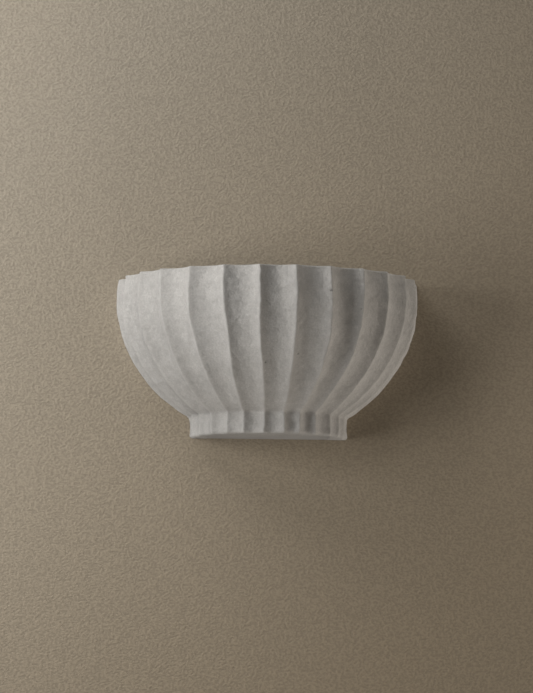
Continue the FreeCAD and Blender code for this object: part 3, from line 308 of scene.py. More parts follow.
# ------------------------------------------------------------------ the plaster shade

def bowl_radius(height):
    """Radius of the ridges on the bowl, a part of an ellipse, in mm."""
    return BOWL_REACH * np.sqrt(1 - ((height - BOWL_CENTRE) / BOWL_DROP) ** 2) - BOWL_OFFSET


def ridge_line(top):
    """Ridge radius and height from the rim down to the underside, in mm: points at even angles of the
    bowl's ellipse, then of the round at the junction, then the upright foot."""
    low = math.acos((BOWL_CENTRE - BOWL_START) / BOWL_DROP)
    high = math.pi - math.acos((top - BOWL_CENTRE) / BOWL_DROP)
    angle = np.linspace(high, low, 112)
    bowl = np.stack([BOWL_REACH * np.sin(angle) - BOWL_OFFSET, BOWL_CENTRE - BOWL_DROP * np.cos(angle)])
    turn = np.linspace(JUNCTION_TURN, 0, 8)[1:]
    share = (1 - np.cos(turn)) / (1 - math.cos(JUNCTION_TURN))
    junction = np.stack([
        FOOT_RADIUS + (bowl_radius(BOWL_START) - FOOT_RADIUS) * share,
        FOOT_STRAIGHT + (BOWL_START - FOOT_STRAIGHT) * np.sin(turn) / math.sin(JUNCTION_TURN)])
    heights = np.linspace(FOOT_STRAIGHT, 0, 18)[1:]
    foot = np.stack([np.full_like(heights, FOOT_RADIUS), heights])
    return np.concatenate([bowl, junction, foot], axis=1)


def flute_share(turn):
    """Radius over ridge radius at an angle from a flute's middle: the near side of the circle that
    cuts the flute."""
    return FLUTE_CENTRE * np.cos(turn) - np.sqrt(FLUTE_CUT ** 2 - (FLUTE_CENTRE * np.sin(turn)) ** 2)


def column_places(flutes, per_half):
    """For each column of the grid: the number of the flute, and the place across it from -1 to 1, with
    the columns closing up towards the ridges."""
    half = 1 - (1 - np.linspace(0, 1, per_half + 1)) ** 1.75
    across = np.concatenate([-half[::-1], half[1:]])
    flute = np.repeat(np.arange(flutes), 2 * per_half)
    place = np.tile(across[:-1], flutes)
    return np.append(flute, flutes - 1), np.append(place, 1.0)


def fluted_side(radius, height, flute, place):
    """The outer surface: azimuth and radius in mm for each row (radius, height) and column (flute,
    place). A flute is the near side of a circle; its ridges are rounded, stray sideways and rise and
    fall a little, as a hand leaves them."""
    flutes = flute.max() + 1
    step = math.pi / flutes
    ridge = np.arange(flutes + 1)
    draw = np.random.default_rng(11)
    free = np.minimum(ridge, flutes - ridge).clip(0, 1)
    stray = np.zeros((len(height), flutes + 1))
    for length, amount in STRAY_WAVES:
        phase = draw.uniform(0, 2 * math.pi, flutes + 1)
        stray += amount * free * np.sin(2 * math.pi * height[:, None] / length + phase)
    rise = np.zeros_like(stray)
    for length, amount in RISE_WAVES:
        phase = draw.uniform(0, 2 * math.pi, flutes + 1)
        rise += amount * (np.sin(2 * math.pi * height[:, None] / length + phase) - 1)
    rise *= free
    on_foot = 1 / (1 + np.exp((height - FOOT_BLEND) / FOOT_BLEND_SPREAD))
    in_corner = np.exp(-((height - CORNER_HEIGHT) / CORNER_SPREAD) ** 2)
    for end, fill, stand_out in zip((0, -1), CORNER_FILL, FOOT_RISE):
        rise[:, end] += fill * in_corner + stand_out * on_foot
    ridge_at = -math.pi / 2 + step * ridge + stray / radius[:, None]
    left, right = ridge_at[:, flute], ridge_at[:, flute + 1]
    share = (1 + place) / 2
    azimuth = left + (right - left) * share
    soft = (sizes().ridge_softness / MM / (radius * step / 2))[:, None]
    bend = (1 - fold(1 - np.abs(place)[None, :], soft) / (np.sqrt(1 + soft ** 2) - soft))
    depth = (1 - flute_share(bend * step / 2)) * (right - left) / step
    deeper = 1 + FLUTE_VARIETY * np.sin(2.4 * flute + 1.1)
    lift = rise[:, flute] * (1 - share) ** 2 + rise[:, flute + 1] * share ** 2
    return azimuth, radius[:, None] * (1 - depth * deeper) + lift, np.abs(bend)


def ray_to_rectangle(azimuth, half, reach):
    """Distance from the axis at which a ray leaves a rectangle that stands on the wall."""
    return np.minimum(half / np.maximum(np.abs(np.sin(azimuth)), 1e-9),
                      reach / np.maximum(np.cos(azimuth), 1e-9))


def plaster_grid():
    """Azimuth, radius and height of the whole shade, in mm, as a closed loop of rows: out over the
    floor of the foot, up the cavity, over the rim, down the fluted side, and in under the foot to the
    opening. Also each point's closeness to a ridge."""
    flute, place = column_places(sizes().flute_count, 13)
    round_rim = sizes().rim_rounding / MM
    round_foot = sizes().foot_rounding / MM
    side = ridge_line(RIM_HEIGHT - round_rim)
    azimuth, radius, bend = fluted_side(side[0], side[1], flute, place)
    height = np.repeat(side[1][:, None], len(flute), 1)
    ridge = bend ** 6
    kept = side[1] >= round_foot
    azimuth, radius, height, ridge = azimuth[kept], radius[kept], height[kept], ridge[kept]
    at_rim = azimuth[0]

    def rows(radii, heights, azimuths=None, closeness=0.0):
        radii, heights = np.broadcast_arrays(radii, heights)
        shape = (len(radii), len(flute))
        radii = np.broadcast_to(radii if radii.ndim == 2 else radii[:, None], shape)
        heights = np.broadcast_to(heights if heights.ndim == 2 else heights[:, None], shape)
        azimuths = np.broadcast_to(at_rim if azimuths is None else azimuths, shape)
        return azimuths, radii, heights, np.broadcast_to(closeness, shape)

    # over the rim, from the cavity outwards
    turn = np.linspace(0, math.pi / 2, 6)[:, None]
    rim_out = rows(radius[0] - round_rim * (1 - np.sin(turn)),
                   RIM_HEIGHT - round_rim * (1 - np.cos(turn)),
                   closeness=ridge[0] * np.sin(turn))
    rim_out = tuple(part[:-1] for part in rim_out)
    cavity_top = RIM_HEIGHT - round_rim
    cavity_edge = CAVITY_OFFSET + math.sqrt(CAVITY_RADIUS ** 2 - (cavity_top - CAVITY_CENTRE) ** 2)
    turn_in = np.linspace(math.pi / 2, 0, 5)
    rim_in = rows(cavity_edge + round_rim * (1 - np.sin(turn_in)),
                  RIM_HEIGHT - round_rim * (1 - np.cos(turn_in)))
    share = np.linspace(0, 1, 8)[1:-1, None]
    inner, outer = cavity_edge + round_rim, radius[0] - round_rim
    flat = rows(inner + (outer - inner) * share, RIM_HEIGHT)
    # the cavity, from the foot's floor up
    well_top = CAVITY_CENTRE - math.sqrt(CAVITY_RADIUS ** 2 - (WELL_RADIUS - CAVITY_OFFSET) ** 2)
    start = math.acos((CAVITY_CENTRE - well_top) / CAVITY_RADIUS)
    stop = math.pi / 2 + math.asin((cavity_top - CAVITY_CENTRE) / CAVITY_RADIUS)
    turn = np.linspace(start, stop, 60)[:-1]
    cavity = rows(CAVITY_OFFSET + CAVITY_RADIUS * np.sin(turn),
                  CAVITY_CENTRE - CAVITY_RADIUS * np.cos(turn))
    well = rows(np.full(6, WELL_RADIUS), np.linspace(FLOOR_HEIGHT, well_top, 7)[:-1])
    # under the foot
    turn = np.linspace(0, math.pi / 2, 7)[:, None]
    foot_edge = rows(radius[-1] - round_foot * (1 - np.cos(turn)), round_foot * (1 - np.sin(turn)),
                     azimuth[-1], ridge[-1] * np.cos(turn))

    def at_corner(half, reach):
        """Azimuths with the nearest column moved onto each corner of a rectangle."""
        placed = azimuth[-1].copy()
        for corner in (-math.atan2(half, reach), math.atan2(half, reach)):
            placed[np.abs(placed - corner).argmin()] = corner
        return placed, ray_to_rectangle(placed, half, reach)

    rebate_at, rebate = at_corner(REBATE_HALF, REBATE_REACH)
    opening_at, opening = at_corner(OPENING_HALF, OPENING_REACH)
    share = np.linspace(0, 1, 7)[1:, None]
    inset = radius[-1] - round_foot
    underside = rows(inset + (rebate - inset) * share, 0.0,
                     azimuth[-1] + (rebate_at - azimuth[-1]) * share)
    step = rows(rebate + 0 * share[:2], np.array([[REBATE_DEPTH / 2], [REBATE_DEPTH]]), rebate_at)
    share = np.linspace(0, 1, 4)[1:, None]
    ceiling = rows(rebate + (opening - rebate) * share, REBATE_DEPTH,
                   rebate_at + (opening_at - rebate_at) * share)
    wall = rows(opening + 0 * share, REBATE_DEPTH + (FLOOR_HEIGHT - REBATE_DEPTH) * share, opening_at)
    share = np.linspace(0, 1, 6)[1:-1, None]
    floor = rows(opening + (WELL_RADIUS - opening) * share, FLOOR_HEIGHT,
                 opening_at + (at_rim - opening_at) * share)
    parts = [floor, well, cavity, rim_in, flat, rim_out, (azimuth, radius, height, ridge),
             tuple(part[1:] for part in foot_edge), underside, step, ceiling, wall]
    return [np.concatenate([part[i] for part in parts]) for i in range(4)]


def plaster_shade():
    """The shade as one closed mesh in metres, uneven as hand-finished plaster is."""
    azimuth, radius, height, ridge = plaster_grid()
    points = np.stack([radius * np.sin(azimuth), -radius * np.cos(azimuth), height + FOOT_LOW], -1) * MM
    rows, columns = height.shape
    flat = points.reshape(-1, 3)
    low = slow_waves(flat, 46 * MM, 3) + 0.55 * slow_waves(flat, 17 * MM, 4)
    fine = slow_waves(flat, 6.5 * MM, 5, 30)
    amount = (sizes().unevenness * (0.9 * low - 0.5) + 0.07 * MM * (fine - 0.5)).reshape(rows, columns)
    on_side = np.clip((radius - 66) / 8, 0, 1) * np.clip(height / 3, 0, 1)
    on_side *= np.clip((RIM_HEIGHT - height) / 3, 0.25, 1)
    amount *= on_side
    shift = np.stack([np.sin(azimuth), -np.cos(azimuth), np.zeros_like(azimuth)], -1)
    flat = (points + amount[..., None] * shift).reshape(-1, 3)
    flat = np.clip(flat, (SHADE_LOW.x, SHADE_LOW.y, SHADE_LOW.z), (SHADE_HIGH.x, 0, SHADE_HIGH.z))
    faces = grid_faces(rows, columns, wrap_rows=True)
    loop = np.arange(rows) * columns
    faces = faces + [loop.tolist(), (loop + columns - 1)[::-1].tolist()]
    faces = outward(flat, faces)
    piece = new_object("plaster_shade", flat, faces, smooth_angle=38)
    run = np.cumsum(np.hypot(np.diff(radius[:, 0], prepend=radius[0, 0]),
                             np.diff(height[:, 0], prepend=height[0, 0]))) * MM
    u = azimuth * 100 * MM
    v = np.repeat(run[:, None], columns, 1)
    add_surface_map(piece, u, v)
    attribute = piece.data.attributes.new("ridge", "FLOAT", "POINT")
    attribute.data.foreach_set("value", ridge.astype(np.float32).ravel())
    return piece


def add_surface_map(piece, u, v):
    """A UV map in metres along the surface, from a value of u and v at each point."""
    mesh = piece.data
    corner = np.empty(len(mesh.loops), np.int32)
    mesh.loops.foreach_get("vertex_index", corner)
    layer = mesh.uv_layers.new(name="surface")
    layer.data.foreach_set("uv", np.stack([u.ravel()[corner], v.ravel()[corner]], -1)
                           .astype(np.float32).ravel())


# ------------------------------------------------------------------ materials

class Recipe:
    """A material under construction: nodes are added and joined by short calls."""

    def __init__(self, name):
        self.material = bpy.data.materials.new(name)
        self.material.use_nodes = True
        self.tree = self.material.node_tree
        self.shader = self.tree.nodes["Principled BSDF"]
        self.places = self.node("ShaderNodeTexCoord").outputs["Object"]

    def node(self, kind, inputs=None, **settings):
        node = self.tree.nodes.new(kind)
        for name, setting in settings.items():
            setattr(node, name, setting)
        for name, given in (inputs or {}).items():
            self.give(node.inputs[name], given)
        return node

    def give(self, socket, given):
        if isinstance(given, bpy.types.NodeSocket):
            self.tree.links.new(given, socket)
        else:
            socket.default_value = given

    def set(self, **inputs):
        for name, given in inputs.items():
            self.give(self.shader.inputs[name.replace("_", " ")], given)

    def noise(self, scale, detail=3.0, roughness=0.5, places=None, stretch=None):
        where = places or self.places
        if stretch:
            where = self.node("ShaderNodeMapping", {"Vector": where, "Scale": stretch}).outputs[0]
        return self.node("ShaderNodeTexNoise", {
            "Vector": where, "Scale": scale, "Detail": detail, "Roughness": roughness}).outputs["Fac"]

    def spots(self, scale):
        return self.node("ShaderNodeTexVoronoi", {"Vector": self.places, "Scale": scale})

    def sum(self, first, second, how="ADD"):
        return self.node("ShaderNodeMath", {0: first, 1: second}, operation=how).outputs[0]

    def span(self, value, low, high, to_low=0.0, to_high=1.0):
        return self.node("ShaderNodeMapRange", {
            "Value": value, "From Min": low, "From Max": high,
            "To Min": to_low, "To Max": to_high}).outputs["Result"]

    def mix(self, share, first, second):
        node = self.node("ShaderNodeMix", data_type="RGBA")
        for socket, given in zip((node.inputs[0], node.inputs[6], node.inputs[7]), (share, first, second)):
            if not isinstance(given, (float, int, bpy.types.NodeSocket)) and len(given) == 3:
                given = (*given, 1.0)
            self.give(socket, given)
        return node.outputs[2]

    def bump(self, height, distance, strength=1.0, after=None):
        inputs = {"Height": height, "Distance": distance, "Strength": strength}
        if after is not None:
            inputs["Normal"] = after
        return self.node("ShaderNodeBump", inputs).outputs[0]


def shade_of(colour, factor):
    return tuple(min(1.0, part * factor) for part in colour)


def plaster_material():
    """Cast plaster: cloudy, chalky and matt, with trowel and brush drag along the flutes, a fine grain,
    and a few small pits. The ridges are painted lighter, partly as chalky rubbing and partly as a painted
    highlight, and the pits are painted darker, as painted shade inside them."""
    recipe = Recipe("cast_plaster")
    base = tuple(colours().plaster)
    along = recipe.node("ShaderNodeUVMap", uv_map="surface").outputs[0]
    ridge = recipe.node("ShaderNodeAttribute", attribute_name="ridge").outputs["Fac"]
    clouds = recipe.span(recipe.noise(42, 6, 0.70), 0.36, 0.64)
    blotch = recipe.span(recipe.noise(150, 5, 0.68), 0.38, 0.66)
    speck = recipe.span(recipe.noise(620, 3, 0.6), 0.36, 0.68)
    colour = recipe.mix(clouds, shade_of(base, 0.80), shade_of(base, 1.13))
    colour = recipe.mix(recipe.span(blotch, 0, 1, 0, 0.8), colour, shade_of(base, 1.17))
    colour = recipe.mix(recipe.span(speck, 0, 1, 0.55, 0), colour, shade_of(base, 0.74))
    drag = recipe.span(recipe.noise(1, 4, 0.6, along, (520, 70, 1)), 0.40, 0.66)
    dragged = recipe.span(recipe.noise(16, 2), 0.50, 0.62)
    drag = recipe.sum(drag, dragged, "MULTIPLY")
    colour = recipe.mix(recipe.span(drag, 0, 1, 0, 0.16), colour, shade_of(base, 0.84))
    grain = recipe.noise(1700, 2, 0.5)
    colour = recipe.mix(recipe.span(grain, 0.35, 0.7, 0, 0.28), colour, shade_of(base, 0.72))
    # Painted highlight and wear: the ridges are painted lighter, partly as chalky rubbing of the crests
    # and partly as a painted highlight along them.
    colour = recipe.mix(recipe.span(ridge, 0.3, 1, 0, 0.35), colour, shade_of(base, 1.12))
    cells = recipe.spots(95)
    lonely = recipe.span(recipe.node("ShaderNodeSeparateColor", {0: cells.outputs["Color"]}).outputs[0],
                         0.93, 0.95)
    pit = recipe.sum(recipe.span(cells.outputs["Distance"], 0.05, 0.12, 1, 0), lonely, "MULTIPLY")
    # Painted shade: each small pit is painted darker, as the shade that falls inside it.
    colour = recipe.mix(recipe.sum(pit, 0.6, "MULTIPLY"), colour, shade_of(base, 0.45))
    recipe.set(Base_Color=colour, Roughness=recipe.span(clouds, 0, 1, 0.97, 0.86))
    recipe.shader.inputs["Specular IOR Level"].default_value = 0.25
    normal = recipe.bump(recipe.noise(190, 6, 0.68), 0.0020, 0.7)
    normal = recipe.bump(drag, 0.0002, 0.5, normal)
    normal = recipe.bump(recipe.noise(1000, 3, 0.6), 0.0003, 0.6, normal)
    normal = recipe.bump(recipe.sum(pit, -1, "MULTIPLY"), 0.0008, 1.0, normal)
    recipe.set(Normal=normal)
    return recipe.material


def coated(name, base, roughness, grain=900, bump=0.00006, spread=0.06, specular=0.5):
    """A plastic, paint, rubber or glaze: one colour that drifts a little, with a fine skin."""
    recipe = Recipe(name)
    drift = recipe.span(recipe.noise(55, 4, 0.55), 0.35, 0.68)
    colour = recipe.mix(drift, shade_of(base, 1 - spread), shade_of(base, 1 + spread))
    dust = recipe.span(recipe.noise(grain, 2), 0.55, 0.75, 0, 0.15)
    colour = recipe.mix(dust, colour, shade_of(base, 1 - 2 * spread))
    recipe.set(Base_Color=colour, Roughness=recipe.span(drift, 0, 1, roughness - 0.05, roughness + 0.06))
    recipe.shader.inputs["Specular IOR Level"].default_value = specular
    recipe.set(Normal=recipe.bump(recipe.noise(grain, 3), bump, 0.6))
    return recipe


def metal(name, base, roughness, lines=(90, 90, 900), stain=None):
    """A metal with a drawn or turned grain, faint dark patches and a roughness that varies."""
    recipe = Recipe(name)
    patches = recipe.span(recipe.noise(70, 5, 0.6), 0.4, 0.7)
    grain = recipe.noise(1, 3, 0.6, stretch=lines)
    colour = recipe.mix(patches, base, stain or shade_of(base, 0.82))
    colour = recipe.mix(recipe.span(grain, 0.35, 0.65, 0, 0.22), colour, shade_of(base, 0.7))
    recipe.set(Base_Color=colour, Metallic=1.0,
               Roughness=recipe.sum(recipe.span(grain, 0.3, 0.7, roughness - 0.06, roughness + 0.08),
                                    recipe.span(patches, 0, 1, 0, 0.08)))
    recipe.set(Normal=recipe.bump(grain, 0.00003, 0.5))
    return recipe


def zinc_material():
    """Zinc-plated sheet steel: pale flowers of slightly different grey, and a dull shine."""
    recipe = metal("zinc_plate", (0.60, 0.61, 0.63), 0.38, lines=(60, 60, 60))
    flower = recipe.spots(260)
    grey = recipe.node("ShaderNodeSeparateColor", {0: flower.outputs["Color"]}).outputs[1]
    tint = recipe.mix(recipe.span(grey, 0, 1, 0, 0.5), (0.60, 0.61, 0.63), (0.66, 0.665, 0.67))
    worn = recipe.span(recipe.noise(30, 6, 0.7), 0.45, 0.78, 0, 0.42)
    recipe.set(Base_Color=recipe.mix(worn, tint, (0.48, 0.48, 0.48)),
               Roughness=recipe.sum(recipe.span(grey, 0, 1, 0.38, 0.41), worn, "MAXIMUM"))
    return recipe.material


def globe_material():
    """Opal glass: milky, with a satin surface that lets some light through."""
    recipe = coated("opal_glass", (0.86, 0.86, 0.84), 0.28, spread=0.015, bump=0.00001)
    recipe.shader.inputs["Subsurface Weight"].default_value = 0.35
    recipe.shader.inputs["Subsurface Radius"].default_value = (0.006, 0.006, 0.005)
    recipe.shader.inputs["Coat Weight"].default_value = 0.3
    return recipe.material


def board_material():
    """The bulb's white light board: what stands above it is an emitter with a yellow phosphor."""
    recipe = coated("light_board", (0.80, 0.80, 0.77), 0.4, spread=0.02)
    above = recipe.node("ShaderNodeSeparateXYZ", {0: recipe.places}).outputs[2]
    top = (SHELF_TOP + BOARD_UP + 0.25) * MM
    raised = recipe.sum(above, top, "GREATER_THAN")
    recipe.set(Base_Color=recipe.mix(raised, (0.80, 0.80, 0.77), (0.80, 0.62, 0.12)))
    return recipe.material


def earth_lead_material():
    """Green insulation with a yellow stripe that winds along it."""
    recipe = coated("green_yellow_insulation", (0.03, 0.24, 0.05), 0.42, spread=0.08)
    split = recipe.node("ShaderNodeSeparateXYZ", {0: recipe.places})
    way = recipe.sum(recipe.sum(split.outputs[0], split.outputs[1]), split.outputs[2], "SUBTRACT")
    wave = recipe.sum(recipe.sum(way, 2 * math.pi / 0.0052, "MULTIPLY"), 0.0, "SINE")
    stripe = recipe.span(wave, 0.12, 0.22)
    recipe.set(Base_Color=recipe.mix(stripe, (0.03, 0.24, 0.05), (0.78, 0.66, 0.06)))
    return recipe.material


def dressed(piece, material):
    """Give a piece, or a CAD node, one material."""
    if piece.data.materials:
        for number in range(len(piece.data.materials)):
            piece.data.materials[number] = material
    else:
        piece.data.materials.append(material)
    return piece


def stand_in(piece, material, node, body):
    """Finish a piece that is shown instead of a CAD node."""
    dressed(piece, material)
    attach(piece, body)
    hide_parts(node)


# ------------------------------------------------------------------ operators

class SCONCE_OT_plaster_shade(Operator):
    """Build the fluted plaster shade with the two lugs inside it, which stand for the CAD shade"""
    bl_idname = "sconce.plaster_shade"
    bl_label = "Plaster shade"

    def execute(self, context):
        plaster = plaster_material()
        stand_in(plaster_shade(), plaster, "shade", "shade")
        for name, low, high, seed in LUGS:
            lug = rounded_block(name, low, high, LUG_ROUNDING, seed)
            stand_in(lug, plaster, "shade", "shade")
        return {"FINISHED"}


def thread(low, high, depth, pitch):
    """A rolled right-hand thread: the radius falls and rises once in each turn, fading out at both
    ends."""
    def relief(radius, height, turns):
        fade = np.clip((height - low) / 1.5, 0, 1) * np.clip((high - height) / 1.5, 0, 1)
        wave = np.cos(2 * math.pi * height / pitch - turns)
        return depth / 2 * fade * (wave - 1)
    return relief


class SCONCE_OT_bulb(Operator):
    """Build the bulb: the cap with its rolled thread, the plastic collar, the globe and the board"""
    bl_idname = "sconce.bulb"
    bl_label = "Bulb"

    def execute(self, context):
        centre = (0.0, LAMP_Y)
        up = SHELF_TOP
        pitch = sizes().thread_pitch / MM
        cap = along([(12.3, -14.0), (12.9, -13.9), (13.1, -13.4), (13.1, 4.8), (12.7, 4.8),
                     (12.7, -13.0)], 0.33)
        stand_in(turned("bulb_cap_threaded", cap, centre, 96, thread(-13.2, 0.2, 0.85, pitch)),
                 metal("nickel_plate", (0.72, 0.70, 0.66), 0.24).material, "bulb_cap", "bulb")
        side = arc((13.6, up + 44.8), (19.4, up + 60.6), 40, 14)
        collar = [(11.0, up + 36), (12.6, up + 36), (12.6, up + 44.8), (13.6, up + 44.8), *side,
                  (19.4, up + 60.6), (19.0, up + 60.9), (19.0, up + 61.3), (19.4, up + 61.5),
                  (19.4, up + 62), (17.8, up + 62), (17.8, up + 59), (11.0, up + 46.4)]
        stand_in(turned("bulb_collar_moulded", collar, centre, 112),
                 coated("bulb_plastic", (0.80, 0.80, 0.78), 0.36, spread=0.02).material,
                 "bulb_collar", "bulb")
        middle, foot, pole = up + GLOBE_MIDDLE_UP, up + BOARD_UP, math.pi / 2 - POLE_GAP
        outer_turn = np.linspace(math.asin((foot - middle) / GLOBE_OUTER), pole, 56)
        inner_turn = np.linspace(pole, math.asin((foot - middle) / GLOBE_INNER), 40)
        globe = np.concatenate([
            np.stack([radius * np.cos(turn), middle + radius * np.sin(turn)], -1)
            for radius, turn in ((GLOBE_OUTER, outer_turn), (GLOBE_INNER, inner_turn))])
        stand_in(turned("bulb_globe_blown", globe, centre, 112), globe_material(),
                 "bulb_globe", "bulb")
        dressed(NODES["bulb_light_board"], board_material())
        dressed(NODES["bulb_insulator"],
                coated("black_glass", (0.012, 0.012, 0.014), 0.12, spread=0.1).material)
        dressed(NODES["bulb_tip"], metal("solder", (0.66, 0.66, 0.67), 0.34).material)
        return {"FINISHED"}


class SCONCE_OT_lampholder(Operator):
    """Build the lampholder's ribbed skirt and thread shell, and finish its other parts"""
    bl_idname = "sconce.lampholder"
    bl_label = "Lampholder"

    def execute(self, context):
        centre = (0.0, LAMP_Y)
        up = SHELF_TOP
        count = sizes().grip_ribs

        def ribs(radius, height, turns):
            band = np.clip((height + 22.5) / 0.8, 0, 1) * np.clip((-3.0 - height) / 0.8, 0, 1)
            return 0.35 * (radius > 19) * band * (np.abs(np.cos(count * turns / 2)) ** 0.7 - 1)

        skirt = along([(17.8, up + 15), (19.7, up + 15), (20, up + 15.3), (20, up + 42),
                       *arc((20, up + 42), (18, up + 44), 2, 6), (18, up + 44), (14.9, up + 44),
                       (14.6, up + 43.7), (14.6, up + 42), (17.8, up + 42)], 0.8)
        phenolic = coated("phenolic", (0.018, 0.017, 0.016), 0.30, spread=0.12, grain=600).material
        stand_in(turned("lampholder_skirt_ribbed", skirt, centre, count * 8, ribs=ribs), phenolic,
                 "lampholder_skirt", "root")
        shell = along([(10, up + 18), (13.9, up + 18), (13.9, up + 43), (13.66, up + 43),
                       (13.66, up + 18.5), (10, up + 18.5)], 0.5)
        brass = metal("brass", (0.72, 0.52, 0.22), 0.28, stain=(0.50, 0.36, 0.16)).material
        pitch = sizes().thread_pitch / MM
        stand_in(turned("thread_shell_rolled", shell, centre, 96, thread(-20, 1.5, 0.25, pitch)),
                 brass, "lampholder_thread_shell", "root")
        dressed(NODES["lampholder_base"], phenolic)
        dressed(NODES["lampholder_contact"], brass)
        dressed(NODES["lampholder_contact_block"],
                coated("ceramic", (0.80, 0.78, 0.73), 0.22, spread=0.03).material)
        return {"FINISHED"}


class SCONCE_OT_metalwork(Operator):
    """Finish the hanger bar, wall plate, lamp arm, closing plate and all screws, rivets and inserts"""
    bl_idname = "sconce.metalwork"
    bl_label = "Metalwork"

    def execute(self, context):
        zinc = zinc_material()
        for name in ("hanger_bar", "wall_plate", "lamp_arm"):
            dressed(NODES[name], zinc)
        steel = metal("bright_zinc_screws", (0.62, 0.62, 0.60), 0.26, (700, 700, 80)).material
        for name in ("hanger_screws", "terminal_screws", "terminal_fixing_screws", "earth_screw",
                     "lampholder_nipple", "nipple_washer", "nipple_nut"):
            dressed(NODES[name], steel)
        dressed(NODES["arm_rivets"], metal("rivet_aluminium", (0.74, 0.75, 0.76), 0.36).material)
        brass = metal("insert_brass", (0.68, 0.50, 0.24), 0.34).material
        for name in ("hanger_inserts", "bottom_cover_inserts", "terminal_clamps"):
            dressed(NODES[name], brass)
        dressed(NODES["earth_ring"], metal("tinned_copper", (0.66, 0.60, 0.55), 0.33).material)
        paint = coated("cover_paint", (0.50, 0.485, 0.465), 0.6, grain=700, bump=0.0002, specular=0.3)
        dressed(NODES["bottom_cover"], paint.material)
        dressed(NODES["bottom_cover_screws"],
                metal("painted_screw_heads", (0.58, 0.57, 0.55), 0.42).material)
        return {"FINISHED"}


class SCONCE_OT_wiring(Operator):
    """Finish the terminal block, the bush in the cable hole and the leads"""
    bl_idname = "sconce.wiring"
    bl_label = "Wiring"

    def execute(self, context):
        finishes = {
            "terminal_block": coated("polyamide", (0.74, 0.73, 0.68), 0.42, spread=0.03).material,
            "cable_grommet": coated("rubber", (0.022, 0.022, 0.022), 0.72, spread=0.15).material,
            "neutral_lead": coated("blue_insulation", (0.03, 0.13, 0.46), 0.4).material,
            "live_lead": coated("brown_insulation", (0.16, 0.065, 0.03), 0.4).material,
            "earth_lead": earth_lead_material(),
        }
        for name, material in finishes.items():
            dressed(NODES[name], material)
        return {"FINISHED"}


class SCONCE_OT_studio(Operator):
    """Build the floor and the wall, and place the lights and the camera"""
    bl_idname = "sconce.studio"
    bl_label = "Studio"

    def execute(self, context):
        make_floor()
        make_wall()
        make_lights()
        make_camera()
        return {"FINISHED"}


def one_way_sheet(name, corners, recipe):
    """A sheet of the stage that is seen from its front only. Light passes through it, so that it
    neither hides nor darkens the light's back and underside."""
    back = recipe.node("ShaderNodeNewGeometry").outputs["Backfacing"]
    clear = recipe.node("ShaderNodeBsdfTransparent")
    choose = recipe.node("ShaderNodeMixShader", {
        0: back, 1: recipe.shader.outputs[0], 2: clear.outputs[0]})
    recipe.tree.links.new(choose.outputs[0], recipe.tree.nodes["Material Output"].inputs["Surface"])
    piece = dressed(new_object(name, corners, [[0, 1, 2, 3]]), recipe.material)
    piece.visible_shadow = False
    piece.visible_diffuse = False
    piece.visible_glossy = False
    piece.visible_transmission = False


def make_floor():
    """A pale floor, as far below the light as a wall light usually hangs."""
    recipe = Recipe("pale_floor")
    base = tuple(colours().floor)
    recipe.set(Base_Color=recipe.mix(recipe.noise(1.3, 3), shade_of(base, 0.96), base), Roughness=0.9)
    low, far = -1.6, 14.0
    one_way_sheet("floor", [(-far, -far, low), (far, -far, low), (far, far, low), (-far, far, low)],
                  recipe)


def make_wall():
    """The painted wall behind, with a roller's stipple whose dips are painted darker, as painted shade in
    them. Its colour is painted warm towards the lower right, as painted warm shade where the light from
    the upper left falls off."""
    recipe = Recipe("wall_paint")
    base = tuple(colours().wall)
    split = recipe.node("ShaderNodeSeparateXYZ", {0: recipe.places})
    # Painted warm shade: the colour turns warm towards the lower right, where the light from the upper
    # left falls off.
    across = recipe.span(recipe.sum(split.outputs[0], split.outputs[2], "SUBTRACT"), -0.45, 0.45)
    painted_warm_shade = (base[0] * 1.05, base[1] * 0.97, base[2] * 0.86)
    colour = recipe.mix(across, base, painted_warm_shade)
    stipple = recipe.noise(430, 2, 0.5, stretch=(0.85, 1, 1.15))
    # Painted shade: the dips of the roller stipple are painted darker.
    painted_stipple_shade = recipe.span(stipple, 0.60, 0.38, 0, 0.28)
    colour = recipe.mix(painted_stipple_shade, colour, shade_of(base, 0.35))
    recipe.set(Base_Color=colour, Roughness=0.7)
    recipe.shader.inputs["Specular IOR Level"].default_value = 0.3
    recipe.set(Normal=recipe.bump(stipple, 0.0012, 0.8))
    wide, tall, behind = 2.5, 1.6, 0.0005
    one_way_sheet("wall", [(-wide, behind, -tall), (wide, behind, -tall),
                           (wide, behind, tall), (-wide, behind, tall)], recipe)


def add_light(name, place, size, power, colour):
    """A rectangular soft light that faces the middle of the fitting."""
    light = bpy.data.lights.new(name, "AREA")
    light.shape = "RECTANGLE"
    light.size, light.size_y = size
    light.energy = power
    light.color = colour
    lamp = bpy.data.objects.new(name, light)
    lamp.location = place
    lamp.rotation_euler = (-Vector(place)).to_track_quat("-Z", "Y").to_euler()
    bpy.context.scene.collection.objects.link(lamp)


def make_lights():
    """Soft light from the upper left, with weaker warm light from the right and from below."""
    cool, warm = (1.0, 0.99, 0.975), (1.0, 0.925, 0.84)
    add_light("key_light", (-0.58, -0.41, 0.84), (0.7, 0.7), studio().key_power, cool)
    add_light("low_light", (-0.90, -0.62, -0.02), (0.45, 0.6), studio().low_power, cool)
    add_light("fill_light", (1.68, -0.14, -0.05), (1.0, 1.0), studio().fill_power, warm)
    add_light("under_light", (0.35, -0.12, -2.0), (1.2, 0.25), studio().under_power, warm)
    add_light("back_light", (0.9, 1.7, 0.9), (1.2, 1.2), studio().back_power, cool)
    world = bpy.data.worlds.new("even_light")
    world.use_nodes = True
    background = world.node_tree.nodes["Background"]
    background.inputs["Color"].default_value = (1.0, 0.95, 0.88, 1)
    background.inputs["Strength"].default_value = studio().ambient
    bpy.context.scene.world = world


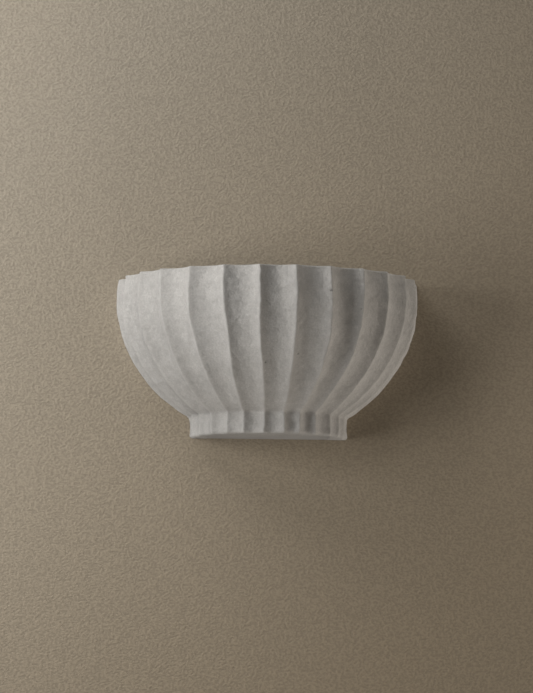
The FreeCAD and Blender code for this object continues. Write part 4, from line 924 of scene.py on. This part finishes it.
def make_camera():
    """The camera stands 4.3 m away, a little to the left of the light and below it."""
    place, target = Vector(CAMERA_PLACE), Vector(CAMERA_TARGET)
    forward = (target - place).normalized()
    level = forward.cross(Vector((0, 0, 1))).normalized()
    above = level.cross(forward)
    right = math.cos(CAMERA_ROLL) * level + math.sin(CAMERA_ROLL) * above
    up = -math.sin(CAMERA_ROLL) * level + math.cos(CAMERA_ROLL) * above
    aim = target + CAMERA_SHIFT[0] * right + CAMERA_SHIFT[1] * up
    forward = (aim - place).normalized()
    right = forward.cross(up).normalized()
    up = right.cross(forward)
    data = bpy.data.cameras.new("camera")
    data.lens = studio().lens
    data.sensor_width = 36.0
    data.clip_start, data.clip_end = 0.1, 60.0
    camera = bpy.data.objects.new("camera", data)
    turn = Matrix((right, up, -forward)).transposed()
    camera.matrix_world = Matrix.Translation(place) @ turn.to_4x4()
    bpy.context.scene.collection.objects.link(camera)
    bpy.context.scene.camera = camera


class SCONCE_PT_panel(Panel):
    """The pieces of the light, in the order that they are built"""
    bl_idname = "SCONCE_PT_panel"
    bl_label = "Shell wall sconce"
    bl_space_type = "VIEW_3D"
    bl_region_type = "UI"
    bl_category = "Sconce"

    def draw(self, context):
        layout = self.layout
        for group in (sizes(), colours(), studio()):
            box = layout.box()
            for name in group.__annotations__:
                box.prop(group, name)
        for operator in PIECES:
            layout.operator(operator.bl_idname)


GROUPS = (("sconce_sizes", SconceSizes), ("sconce_colours", SconceColours),
          ("sconce_studio", SconceStudio))
PIECES = (SCONCE_OT_plaster_shade, SCONCE_OT_bulb, SCONCE_OT_lampholder, SCONCE_OT_metalwork,
          SCONCE_OT_wiring, SCONCE_OT_studio)


def register():
    for name, group in GROUPS:
        bpy.utils.register_class(group)
        setattr(bpy.types.Scene, name, PointerProperty(type=group))
    for kind in (*PIECES, SCONCE_PT_panel):
        bpy.utils.register_class(kind)


def unregister():
    for kind in (SCONCE_PT_panel, *reversed(PIECES)):
        bpy.utils.unregister_class(kind)
    for name, group in reversed(GROUPS):
        delattr(bpy.types.Scene, name)
        bpy.utils.unregister_class(group)


def main():
    register()
    bpy.context.scene.view_settings.view_transform = "Standard"
    for build in (bpy.ops.sconce.plaster_shade, bpy.ops.sconce.bulb, bpy.ops.sconce.lampholder,
                  bpy.ops.sconce.metalwork, bpy.ops.sconce.wiring, bpy.ops.sconce.studio):
        build()


if __name__ == "__main__":
    main()
